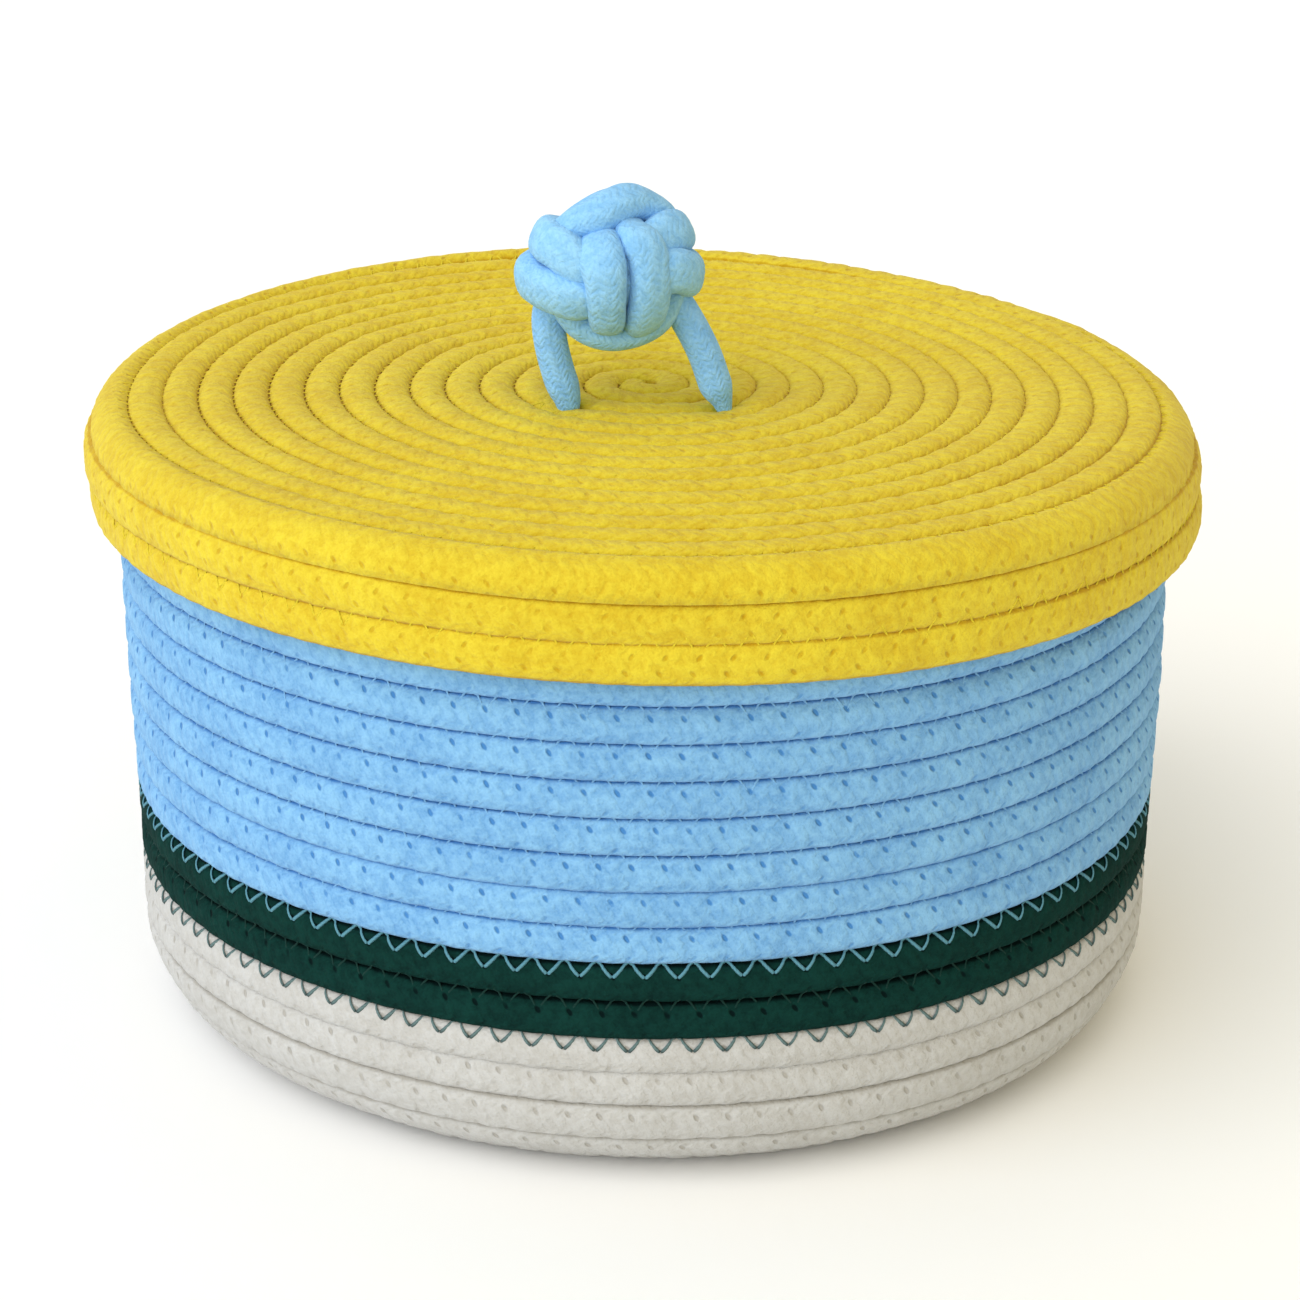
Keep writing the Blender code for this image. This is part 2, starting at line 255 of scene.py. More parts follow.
@dataclass(frozen=True)
class TubCoil(Coil):
    """Rope of the bottom and wall, clockwise from above, measured on its middle line."""

    first_turn: float = -0.38
    last_turn: float = 28.64
    pitch: float = TUB_PITCH
    base_height: float = 3.48 * MM
    wall_radius: float = 123.4 * MM
    corner_radius: float = 19.5 * MM
    start_radius: float = 4.6 * MM
    lean_share: float = 0.0125
    neck_inset: float = 3.2 * MM
    neck_length: float = 8.0 * MM
    neck_row: int = 27
    level_row: float = 12.0
    bottom_shift: float = 1.4 * MM
    upright_from: float = 130.0 * MM
    uneven_heights: tuple[float, ...] = (24.0, 31.0, 39.4, 48.0, 57.0, 66.0, 75.0, 120.0, 138.0)
    uneven_drops: tuple[float, ...] = (0.0, 0.7, 1.5, 1.0, 0.6, 0.2, 0.9, 0.7, 0.0)

    @property
    def flat_length(self) -> float:
        """Length of the flat bottom along a radius."""
        return self.wall_radius - self.corner_radius - self.start_radius

    @property
    def corner_length(self) -> float:
        """Length of the rounded corner along a section."""
        return self.corner_radius * math.pi / 2.0

    def row_height(self, row: float) -> float:
        """Height of a row's middle line on the straight wall."""
        up = row * self.pitch - self.flat_length - self.corner_length
        return self.base_height + self.corner_radius + up

    def places(self, turn: np.ndarray) -> CoilPlaces:
        """Middle line at the given turns.

        Args:
            turn: Turns from the coil's middle.

        Returns:
            The places, with the ways out of the sheet and on to the next row.
        """
        rank = self.rank(turn, self.level_row, ease_both)
        along = rank * self.pitch - self.flat_length
        bend = np.clip(along / self.corner_radius, 0.0, math.pi / 2.0)
        up = np.maximum(0.0, along - self.corner_length)
        flat = np.minimum(0.0, along)
        height = self.base_height + self.corner_radius * (1.0 - np.cos(bend)) + up
        neck = self.row_height(self.neck_row) - self.neck_length
        drawn_in = ease_both(np.clip((height - neck) / self.neck_length, 0.0, 1.0))
        radius = self.wall_radius - self.corner_radius * (1.0 - np.sin(bend)) + flat
        radius = radius + self.lean_share * up - self.neck_inset * drawn_in
        level = level_way(self.back_angle - math.pi * self.climb_share - 2.0 * math.pi * turn)
        middle = level * radius[:, None] + UP * height[:, None]
        outward = level * np.sin(bend)[:, None] - UP * np.cos(bend)[:, None]
        onward = level * np.cos(bend)[:, None] + UP * np.sin(bend)[:, None]
        leaning = np.clip(1.0 - height / self.upright_from, 0.0, 1.0) * self.bottom_shift
        lower = np.interp(height / MM, self.uneven_heights, self.uneven_drops) * MM
        middle = middle + self.wobble(middle) * np.sin(bend)[:, None]
        middle = middle + leaning[:, None] * RIGHT - lower[:, None] * UP
        half = self.pitch / 2.0
        bent = np.minimum(along + half, self.corner_length) - np.maximum(along - half, 0.0)
        fan = np.clip(bent / self.pitch, 0.0, 1.0) / self.corner_radius
        return CoilPlaces(middle, outward, onward, fan=fan)


@dataclass(frozen=True)
class EdgeSettling:
    """How the lid's soft edge has settled, by row, in millimetres: lower, most at the right and front.

    rows: Row numbers from the lid's middle that the other fields belong to.
    out: Shift away from the middle.
    down: Mean shift down.
    right: More of it at the right, and less at the left.
    front: More of it at the front, and less at the back.
    sides: More of it at both sides, and less at the front and back.
    narrow: Shift back towards the middle at both sides, more at the right.
    lean: Shift away from the middle at the right, and towards it at the left.
    corner_row: More shift down of the row on the edge, every 30 degrees counter-clockwise from the right.
    corner_rows: Row numbers that share in it.
    corner_shares: Their shares of it.
    blur: Angle over which it is evened out, in degrees.
    narrow_right: How much more the narrowing is at the right, and less at the left.
    """

    rows: tuple[float, ...] = (11.0, 13.0, 14.0, 15.0, 16.0, 17.0)
    out: tuple[float, ...] = (0.0, 0.0, -0.1, -0.9, 0.7, 0.7)
    down: tuple[float, ...] = (0.0, 0.25, 0.55, 1.2, 0.9, 0.45)
    right: tuple[float, ...] = (0.0, 0.25, 0.55, 1.1, 1.3, 1.5)
    front: tuple[float, ...] = (0.0, 0.35, 0.75, 1.1, 0.2, 0.2)
    sides: tuple[float, ...] = (0.0, 0.3, 0.7, 1.3, 0.4, 0.35)
    narrow: tuple[float, ...] = (0.0, 0.0, 0.2, 1.6, -0.3, 0.0)
    lean: tuple[float, ...] = (0.0, 0.0, 0.0, 0.1, -0.4, 0.6)
    corner_row: tuple[float, ...] = (-0.4, 0.65, -0.4, -0.9, -0.7, 0.15,
                                     -0.1, -0.95, -1.15, -0.2, -1.05, -1.15)
    corner_rows: tuple[float, ...] = (13.0, 15.0, 16.0, 17.0)
    corner_shares: tuple[float, ...] = (0.0, 1.0, 0.5, 0.0)
    blur: float = 10.0
    narrow_right: float = 0.3

    def by_row(self, rank: np.ndarray, *fields: tuple[float, ...]) -> list[np.ndarray]:
        """Values of some fields at each row number."""
        return [np.interp(rank, self.rows, values) for values in fields]

    def drop(self, rank: np.ndarray, level: np.ndarray) -> np.ndarray:
        """Shift down of each place, in metres.

        Args:
            rank: Row numbers.
            level: Level directions from the lid's middle.

        Returns:
            The shifts.
        """
        down, right, front, sides = self.by_row(rank, self.down, self.right, self.front, self.sides)
        both = level[:, 0] ** 2 - level[:, 1] ** 2
        angle = np.degrees(np.arctan2(level[:, 1], level[:, 0]))
        known = np.linspace(0.0, 360.0, len(self.corner_row), endpoint=False)
        more = sum(np.interp(angle + turned, known, self.corner_row, period=360.0)
                   for turned in (-self.blur, 0.0, self.blur))
        more = more / 3.0 * np.interp(rank, self.corner_rows, self.corner_shares)
        return (down + right * level[:, 0] - front * level[:, 1] + sides * both + more) * MM

    def spread(self, rank: np.ndarray, level: np.ndarray) -> np.ndarray:
        """Shift away from the middle of each place, in metres.

        Args:
            rank: Row numbers.
            level: Level directions from the lid's middle.

        Returns:
            The shifts.
        """
        out, narrow, lean = self.by_row(rank, self.out, self.narrow, self.lean)
        right = level[:, 0]
        return (out - narrow * right**2 * (1.0 + self.narrow_right * right) + lean * right) * MM


@dataclass(frozen=True)
class LidCoil(Coil):
    """Rope of the lid, counter-clockwise from above, out over the top and down the side."""

    first_turn: float = -0.08
    last_turn: float = 17.64
    pitch: float = LID_PITCH
    side_pitch: float = LID_SIDE_PITCH
    radius: float = 131.4 * MM
    height: float = 149.9 * MM
    flat_turns: int = 14
    settled: EdgeSettling = EdgeSettling()
    feet: tuple[tuple[float, float], ...] = ((-18.9 * MM, -20.0 * MM), (18.4 * MM, -20.0 * MM))
    dent: float = 1.3 * MM
    dent_reach: float = 7.5 * MM
    wobble_share: float = 0.6

    def places(self, turn: np.ndarray) -> CoilPlaces:
        """Middle line at the given turns.

        Args:
            turn: Turns from the coil's middle.

        Returns:
            The places, with the ways out of the sheet and on to the next row.
        """
        edge = self.flat_turns + 1
        rising = self.rank(turn, float(self.flat_turns), ease_in)
        settling = self.rank(turn, float(self.flat_turns), ease_out)
        rank = np.where(turn < edge, rising, settling)
        flat_side = np.clip(rank - self.flat_turns, 0.0, 1.0)
        flat_top = np.minimum(0.0, rank - self.flat_turns)
        down = np.maximum(0.0, rank - edge)
        level = level_way(self.back_angle + math.pi * self.climb_share + 2.0 * math.pi * turn)
        radius = self.radius - self.side_pitch * (1.0 - flat_side) + self.pitch * flat_top
        radius = radius + self.settled.spread(rank, level)
        height = self.height - self.side_pitch * down
        bend = math.pi / 4.0 * (flat_side + np.minimum(1.0, down))
        middle = level * radius[:, None] + UP * height[:, None]
        outward = level * np.sin(bend)[:, None] + UP * np.cos(bend)[:, None]
        onward = level * np.cos(bend)[:, None] - UP * np.sin(bend)[:, None]
        drop = self.settled.drop(rank, level)
        squeezed = drop / 2.0 * (1.0 - flat_side)
        sunk = sum(np.exp(-np.sum((middle[:, :2] - np.array(foot)) ** 2, axis=1) / self.dent_reach**2)
                   for foot in self.feet)
        lower = drop - squeezed + self.dent * sunk
        middle = middle + self.wobble(middle) * self.wobble_share - UP * lower[:, None]
        corner = ease_both(1.0 - np.abs(bend / (math.pi / 4.0) - 1.0))
        return CoilPlaces(middle, outward, onward, squeezed, corner)


@dataclass(frozen=True)
class RopeSection:
    """Section of a soft rope squeezed between its neighbours: a rounded square."""

    half_width: float
    half_thickness: float
    squareness: float = 3.1
    corner_squareness: float = 1.6
    corner_edge: float = 6.0
    corner_bulge: float = 2.4 * MM
    corner_depth: float = 3.9 * MM
    corner_hollow: float = 1.3 * MM
    angles: tuple[float, ...] = (0, 18, 38, 58, 79, 101, 122, 142, 162, 180, 208, 246, 294, 332)

    def outline(self) -> tuple[np.ndarray, np.ndarray]:
        """Points of the section where the sheet is plain.

        Returns:
            Distances across the row and out of the sheet.
        """
        turned = np.radians(np.array(self.angles, float))
        across = self.half_width * signed_power(np.cos(turned), 2.0 / self.squareness)
        out = self.half_thickness * signed_power(np.sin(turned), 2.0 / self.squareness)
        return across, out

    def corner_outline(self) -> tuple[np.ndarray, np.ndarray, np.ndarray]:
        """The same points where the sheet turns a corner: square to both sheets, and round outside.

        Returns:
            Distances across the row, out of the sheet, and from the row's middle to its seams.
        """
        turned = np.array(self.angles, float)
        turned = np.where(turned <= 180.0, 1.5 * turned - 45.0, 0.5 * turned + 135.0)
        aslant = np.radians(turned - 45.0)
        out, back = np.cos(aslant), np.sin(aslant)
        power = np.where(back > 0.0, self.corner_squareness, self.corner_edge)
        power = np.where(out > 0.0, power, self.squareness)
        bulged = self.half_thickness + self.corner_bulge * (1.0 - back) / 2.0
        deep = np.where(out > 0.0, bulged, self.corner_depth + self.corner_hollow * np.minimum(back, 0.0))
        long = np.where(back > 0.0, self.half_thickness, self.half_width)
        reach = (np.abs(out / deep) ** power + np.abs(back / long) ** power) ** (-1.0 / power)
        seams = np.maximum(-reach * out, 0.0) * self.half_width / self.corner_depth
        seams = np.maximum(-reach * back, 0.0) - seams
        return reach * np.cos(np.radians(turned)), reach * np.sin(np.radians(turned)), seams

    def rise(self, across: np.ndarray) -> np.ndarray:
        """Height of the rope's face over its middle line, at a distance across the row."""
        share = np.clip(np.abs(across) / self.half_width, 0.0, 1.0)
        return self.half_thickness * (1.0 - share**self.squareness) ** (1.0 / self.squareness)


def rolled_tube(name: str, rings: np.ndarray, along: np.ndarray, marks: dict[str, np.ndarray],
                looped: bool = False) -> bpy.types.Mesh:
    """Closed tube rolled from a flat grid.

    Args:
        name: Name of the mesh.
        rings: Points of each ring, as rings by sides by three.
        along: Distance along the tube to each ring, in metres.
        marks: Point attributes, each as rings by sides.
        looped: Whether the last ring lies on the first one.

    Returns:
        The mesh, with a UV map of metres along by share round.
    """
    count, sides = rings.shape[:2]
    shape = bmesh.new()
    shape.loops.layers.uv.new("rope")
    bmesh.ops.create_grid(shape, x_segments=count - 1, y_segments=sides, size=1.0, calc_uvs=True)
    mesh = bpy.data.meshes.new(name)
    shape.to_mesh(mesh)
    shape.free()
    flat = np.empty(len(mesh.vertices) * 3, np.float32)
    mesh.vertices.foreach_get("co", flat)
    flat = flat.reshape(-1, 3)
    ring = np.rint((flat[:, 0] + 1.0) / 2.0 * (count - 1)).astype(int)
    side = np.rint((flat[:, 1] + 1.0) / 2.0 * sides).astype(int)
    mesh.vertices.foreach_set("co", rings[ring, side % sides].astype(np.float32).ravel())
    corner = np.empty(len(mesh.loops), np.int32)
    mesh.loops.foreach_get("vertex_index", corner)
    spread = np.stack([along[ring[corner]], side[corner] / sides], axis=1)
    mesh.uv_layers["rope"].data.foreach_set("uv", spread.astype(np.float32).ravel())
    for mark, values in marks.items():
        attribute = mesh.attributes.new(mark, "FLOAT", "POINT")
        attribute.data.foreach_set("value", values[ring, side % sides].astype(np.float32))
    edge = (side == 0) | (side == sides) | (ring == 0) | (ring == count - 1)
    shape = bmesh.new()
    shape.from_mesh(mesh)
    shape.verts.ensure_lookup_table()
    border = [shape.verts[index] for index in np.flatnonzero(edge)]
    bmesh.ops.remove_doubles(shape, verts=border, dist=WELD)
    bmesh.ops.dissolve_degenerate(shape, edges=shape.edges, dist=WELD)
    if not looped:
        bmesh.ops.holes_fill(shape, edges=[edge for edge in shape.edges if edge.is_boundary], sides=0)
    bmesh.ops.recalc_face_normals(shape, faces=shape.faces)
    shape.to_mesh(mesh)
    shape.free()
    mesh.shade_smooth()
    return mesh


@dataclass(frozen=True)
class NodeKit:
    """Short ways to place and link shader nodes in one material."""

    tree: bpy.types.NodeTree

    def add(self, kind: str, **settings: object) -> bpy.types.Node:
        """Add a node.

        Args:
            kind: Blender's name for its type.
            settings: Values of some of its settings.

        Returns:
            The node.
        """
        node = self.tree.nodes.new(kind)
        for name, value in settings.items():
            setattr(node, name, value)
        return node

    def feed(self, socket: bpy.types.NodeSocket, value: object) -> None:
        """Link a socket to another one, or set its value.

        Args:
            socket: The input socket.
            value: The socket that it is linked to, or the value.
        """
        if isinstance(value, bpy.types.NodeSocket):
            self.tree.links.new(value, socket)
        else:
            socket.default_value = value

    def math(self, operation: str, *values: object) -> bpy.types.NodeSocket:
        """Result of a Math node.

        Args:
            operation: Blender's name for the operation.
            values: Sockets or numbers, in order.

        Returns:
            The output socket.
        """
        node = self.add("ShaderNodeMath", operation=operation)
        for socket, value in zip(node.inputs, values):
            self.feed(socket, value)
        return node.outputs[0]

    def ramp(self, value: object, low: float, high: float) -> bpy.types.NodeSocket:
        """Share from 0 to 1 of a value between two limits, smooth at both ends.

        Args:
            value: A socket or a number.
            low: Value where the share is 0.
            high: Value where it is 1.

        Returns:
            The output socket.
        """
        node = self.add("ShaderNodeMapRange", interpolation_type="SMOOTHSTEP")
        for name, given in (("Value", value), ("From Min", low), ("From Max", high)):
            self.feed(node.inputs[name], given)
        return node.outputs[0]

    def noise(self, vector: bpy.types.NodeSocket, scale: float, detail: float) -> bpy.types.NodeSocket:
        """Noise from 0 to 1.

        Args:
            vector: Socket of the places.
            scale: Bumps a metre.
            detail: How much finer noise is added.

        Returns:
            The output socket.
        """
        node = self.add("ShaderNodeTexNoise")
        self.feed(node.inputs["Vector"], vector)
        node.inputs["Scale"].default_value = scale
        node.inputs["Detail"].default_value = detail
        return node.outputs[0]

    def rope_map(self) -> bpy.types.NodeOutputs:
        """Place on a rope, from its UV map.

        Returns:
            Sockets, first for the metres along the rope, then for the share of the way round it.
        """
        node = self.add("ShaderNodeSeparateXYZ")
        self.feed(node.inputs[0], self.add("ShaderNodeUVMap", uv_map="rope").outputs[0])
        return node.outputs

    def bump(self, height: bpy.types.NodeSocket, distance: float) -> bpy.types.NodeSocket:
        """Normal of an uneven surface.

        Args:
            height: Socket of its height.
            distance: Metres in a height of one.

        Returns:
            The output socket.
        """
        node = self.add("ShaderNodeBump")
        node.inputs["Strength"].default_value = BUMP_STRENGTH
        node.inputs["Distance"].default_value = distance
        self.feed(node.inputs["Height"], height)
        return node.outputs[0]

    def mark(self, name: str) -> bpy.types.NodeSocket:
        """Value of a point attribute."""
        return self.add("ShaderNodeAttribute", attribute_name=name).outputs["Fac"]

    def blend(self, share: object, first: object, second: object) -> bpy.types.NodeSocket:
        """Mix of two colours.

        Args:
            share: Share of the second one.
            first: A socket or a colour.
            second: Another one.

        Returns:
            The output socket.
        """
        node = self.add("ShaderNodeMix", data_type="RGBA", blend_type="MIX")
        self.feed(node.inputs[0], share)
        self.feed(node.inputs[6], first)
        self.feed(node.inputs[7], second)
        return node.outputs[2]


def new_material(name: str, settings: dict[str, object]) -> tuple[bpy.types.Material, bpy.types.Node]:
    """Make a material.

    Args:
        name: Its name.
        settings: Values of its shader's sockets.

    Returns:
        The material and its shader.
    """
    made = bpy.data.materials.new(name)
    made.use_nodes = True
    shader = made.node_tree.nodes["Principled BSDF"]
    for socket, value in settings.items():
        shader.inputs[socket].default_value = value
    return made, shader


@dataclass(frozen=True)
class Stitches:
    """Where one row of needle holes lies, and how its thread marks the rope.

    hole: Distance from the crease to the holes.
    spread: Half the width of the thread's V at the crease.
    shift: Share of a stitch by which the holes lie away from whole counts.
    mark: How deep the pits at the holes are, and how strong the painted shade in them is.
    """

    hole: float
    spread: float
    shift: float
    mark: float


@dataclass(frozen=True)
class Sewing:
    """Zigzag stitches along both edges of a row: towards the next row, and towards the one before."""

    pitch: float = TUB_PITCH
    length: float = STITCH_LENGTH
    after: Stitches = Stitches(2.5 * MM, 1.9 * MM, 0.5, 1.0)
    before: Stitches = Stitches(2.2 * MM, 1.6 * MM, 0.0, 0.35)


@dataclass(frozen=True)
class RopeFinish:
    """Soft braided cotton rope: colour, braid, fuzz, lumps, tones, and the marks of its stitches, with
    painted shade in its creases, its needle pits and the low parts of its bumps.

    Scales are bumps a metre, heights are millimetres, and shades are shares of the way from the face's colour
    to the darker colour, which serves both for random darker tones and for painted shade. Spans are where a
    pattern begins to show, and where it shows fully.
    """

    cotton: Cotton
    face: tuple[float, float, float]
    dark_tone_and_shade: tuple[float, float, float]
    sewing: Sewing | None = None
    braid_length: float = 3.0 * MM
    braid_columns: float = 8.0
    braid_height: float = 0.2
    uneven: float = 1.6 * MM
    fuzz_scale: float = 1700.0
    fuzz_height: float = 0.3
    fuzz_shade: float = 0.16
    fuzz_span: tuple[float, float] = (0.6, 0.35)
    lump_scale: float = 430.0
    lump_height: float = 0.75
    lump_shade: float = 0.26
    lump_span: tuple[float, float] = (0.62, 0.36)
    tone_scale: float = 55.0
    tone_shade: float = 0.16
    tone_span: tuple[float, float] = (0.62, 0.38)
    braid_shade: float = 0.45
    braid_span: tuple[float, float] = (0.5, 0.05)
    pit_height: float = -0.5
    pit_slant: float = 0.5
    pit_size: tuple[float, float] = (1.5, 1.1)
    pit_shift: float = 0.35
    pit_span: tuple[float, float] = (1.15, 0.0)
    pit_strength_span: tuple[float, float] = (0.35, 0.6)
    crease_shade_from: float = 0.44
    crease_shade: float = 0.8
    sheen: float = 0.1

    def material(self) -> bpy.types.Material:
        """Make the finish.

        Returns:
            A new material.
        """
        name = self.cotton.value + ("_sewn_rope" if self.sewing else "_plain_rope")
        made, shader = new_material(name, {"Roughness": 0.95, "Specular IOR Level": 0.06,
                                           "Sheen Weight": self.sheen, "Sheen Roughness": 0.6})
        kit = NodeKit(made.node_tree)
        place = kit.add("ShaderNodeTexCoord").outputs["Object"]
        along, turn = kit.rope_map()[:2]
        fuzz = kit.noise(place, self.fuzz_scale, detail=3.0)
        lumps = kit.noise(place, self.lump_scale, detail=2.0)
        tones = kit.noise(place, self.tone_scale, detail=3.0)
        braid = self.braid(kit, kit.math("MULTIPLY_ADD", lumps, self.uneven, along), turn)
        height = kit.math("MULTIPLY", fuzz, self.fuzz_height)
        height = kit.math("MULTIPLY_ADD", braid, self.braid_height, height)
        height = kit.math("MULTIPLY_ADD", lumps, self.lump_height, height)
        # Painted shade in the low parts of the fuzz, braid and lumps, darkest where their bumps are lowest;
        # the tones add a random darker tone.
        shade = kit.math("MULTIPLY", kit.ramp(fuzz, *self.fuzz_span), self.fuzz_shade)
        for share, weight in ((kit.ramp(braid, *self.braid_span), self.braid_shade * self.braid_height),
                              (kit.ramp(lumps, *self.lump_span), self.lump_shade),
                              (kit.ramp(tones, *self.tone_span), self.tone_shade)):
            shade = kit.math("MULTIPLY_ADD", share, weight, shade)
        if self.sewing:
            across = kit.mark("across")
            pit_strength = kit.math("MULTIPLY_ADD", kit.ramp(tones, *self.pit_strength_span), 0.5, 0.5)
            # Needle pits: a dent in the bump with painted shade in it, both varied at random along the rope.
            for side, seam, row in ((1.0, "seam_after", self.sewing.after),
                                    (-1.0, "seam_before", self.sewing.before)):
                pit = self.pits(kit, kit.mark(seam), kit.math("MULTIPLY", across, side), row)
                pit = kit.math("MULTIPLY", pit, pit_strength)
                height = kit.math("MULTIPLY_ADD", pit, self.pit_height * row.mark, height)
                shade = kit.math("MULTIPLY_ADD", pit, row.mark, shade)
            # Painted shade in the crease between neighbouring rows.
            away = kit.math("ABSOLUTE", across)
            crease = kit.ramp(away, self.crease_shade_from * self.sewing.pitch, 0.5 * self.sewing.pitch)
            shade = kit.math("MULTIPLY_ADD", crease, self.crease_shade, shade)
        shade = kit.math("MINIMUM", shade, 1.0)
        kit.feed(shader.inputs["Base Color"], kit.blend(shade, (*self.face, 1.0), (*self.dark_tone_and_shade, 1.0)))
        kit.feed(shader.inputs["Normal"], kit.bump(height, MM))
        return made

    def braid(self, kit: NodeKit, along: bpy.types.NodeSocket,
              turn: bpy.types.NodeSocket) -> bpy.types.NodeSocket:
        """Slanted floats of the braid, from 0 in the grooves to 1.

        Args:
            kit: The material's nodes.
            along: Distance along the rope, in metres.
            turn: Share of the way round it.

        Returns:
            The height as a share.
        """
        column = kit.math("MULTIPLY", turn, self.braid_columns)
        slant = kit.math("PINGPONG", column, 1.0)
        number = kit.math("MULTIPLY_ADD", along, 1.0 / self.braid_length, slant)
        rib = kit.math("ABSOLUTE", kit.math("SINE", kit.math("MULTIPLY", number, math.pi)))
        ridge = kit.math("ABSOLUTE", kit.math("SINE", kit.math("MULTIPLY", column, math.pi)))
        return kit.math("MULTIPLY", rib, kit.math("MULTIPLY_ADD", ridge, 0.5, 0.5))

    def pits(self, kit: NodeKit, seam: bpy.types.NodeSocket, across: bpy.types.NodeSocket,
             row: Stitches) -> bpy.types.NodeSocket:
        """Slanted pits at the needle holes of one edge, for their bump and their painted shade.

        Args:
            kit: The material's nodes.
            seam: Stitches counted along the seam.
            across: Distance across the row, towards that edge.
            row: How the stitches lie.

        Returns:
            The depth as a share.
        """
        phase = kit.math("FRACT", kit.math("ADD", seam, 0.5 + row.shift))
        away = kit.math("MULTIPLY", kit.math("SUBTRACT", phase, 0.5), self.sewing.length / MM)
        down = kit.math("MULTIPLY_ADD", across, -1.0 / MM, self.sewing.pitch / 2.0 / MM)
        over = kit.math("SUBTRACT", down, row.hole / MM - self.pit_shift)
        slanted = kit.math("MULTIPLY_ADD", over, self.pit_slant, away)
        sides = [kit.math("ABSOLUTE", kit.math("MULTIPLY", part, size))
                 for part, size in zip((slanted, over), self.pit_size)]
        reach = kit.math("ADD", *(kit.math("POWER", side, 2.0) for side in sides))
        return kit.ramp(reach, *self.pit_span)


@dataclass(frozen=True)
class ThreadFinish:
    """Twisted sewing thread.

    hole_shadow_share: How bright it stays where it goes into the rope, as painted shadow at the needle hole.
    ply_groove_shade_share: How bright it stays between its plies, as painted shade in the grooves.
    """

    name: str
    colour: tuple[float, float, float]
    hole_shadow_share: float = 1.0
    twist_length: float = 1.1 * MM
    ply_groove_shade_share: float = 0.85
    groove_depth: float = 0.12 * MM

    def material(self) -> bpy.types.Material:
        """Make the finish.

        Returns:
            A new material.
        """
        made, shader = new_material(self.name, {"Roughness": 0.75, "Specular IOR Level": 0.2})
        kit = NodeKit(made.node_tree)
        along, turn = kit.rope_map()[:2]
        ply = kit.math("MULTIPLY_ADD", along, 1.0 / self.twist_length, turn)
        groove = kit.math("ABSOLUTE", kit.math("SINE", kit.math("MULTIPLY", ply, math.pi)))
        # Painted shade in the grooves between the plies.
        dark = tuple(self.ply_groove_shade_share * part for part in self.colour)
        colour = kit.blend(kit.ramp(groove, 0.0, 0.5), (*dark, 1.0), (*self.colour, 1.0))
        # Painted shadow where the thread goes into a needle hole.
        sunk = tuple(self.hole_shadow_share * part for part in self.colour)
        kit.feed(shader.inputs["Base Color"], kit.blend(kit.mark("hole"), colour, (*sunk, 1.0)))
        kit.feed(shader.inputs["Normal"], kit.bump(groove, self.groove_depth))
        return made


def link_object(name: str, data: bpy.types.ID) -> bpy.types.Object:
    """Make an object in the scene.

    Args:
        name: Its name.
        data: Its mesh, light or camera.

    Returns:
        The object.
    """
    made = bpy.data.objects.new(name, data)
    bpy.context.scene.collection.objects.link(made)
    return made


def place_piece(mesh: bpy.types.Mesh, finish: bpy.types.Material, body: Body,
                stands_for: Sequence[str] = ()) -> bpy.types.Object:
    """Link a finished piece, and let it ride on its body.

    Args:
        mesh: The piece's mesh, in the row frame.
        finish: Its material.
        body: The body that carries it.
        stands_for: Frame nodes that it replaces.

    Returns:
        The piece.
    """
    piece = link_object(mesh.name, mesh)
    mesh.materials.append(finish)
    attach(piece, body.value)
    if stands_for:
        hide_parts(*stands_for)
    LOG.info("%s: %d faces on %s", piece.name, len(mesh.polygons), body.value)
    return piece


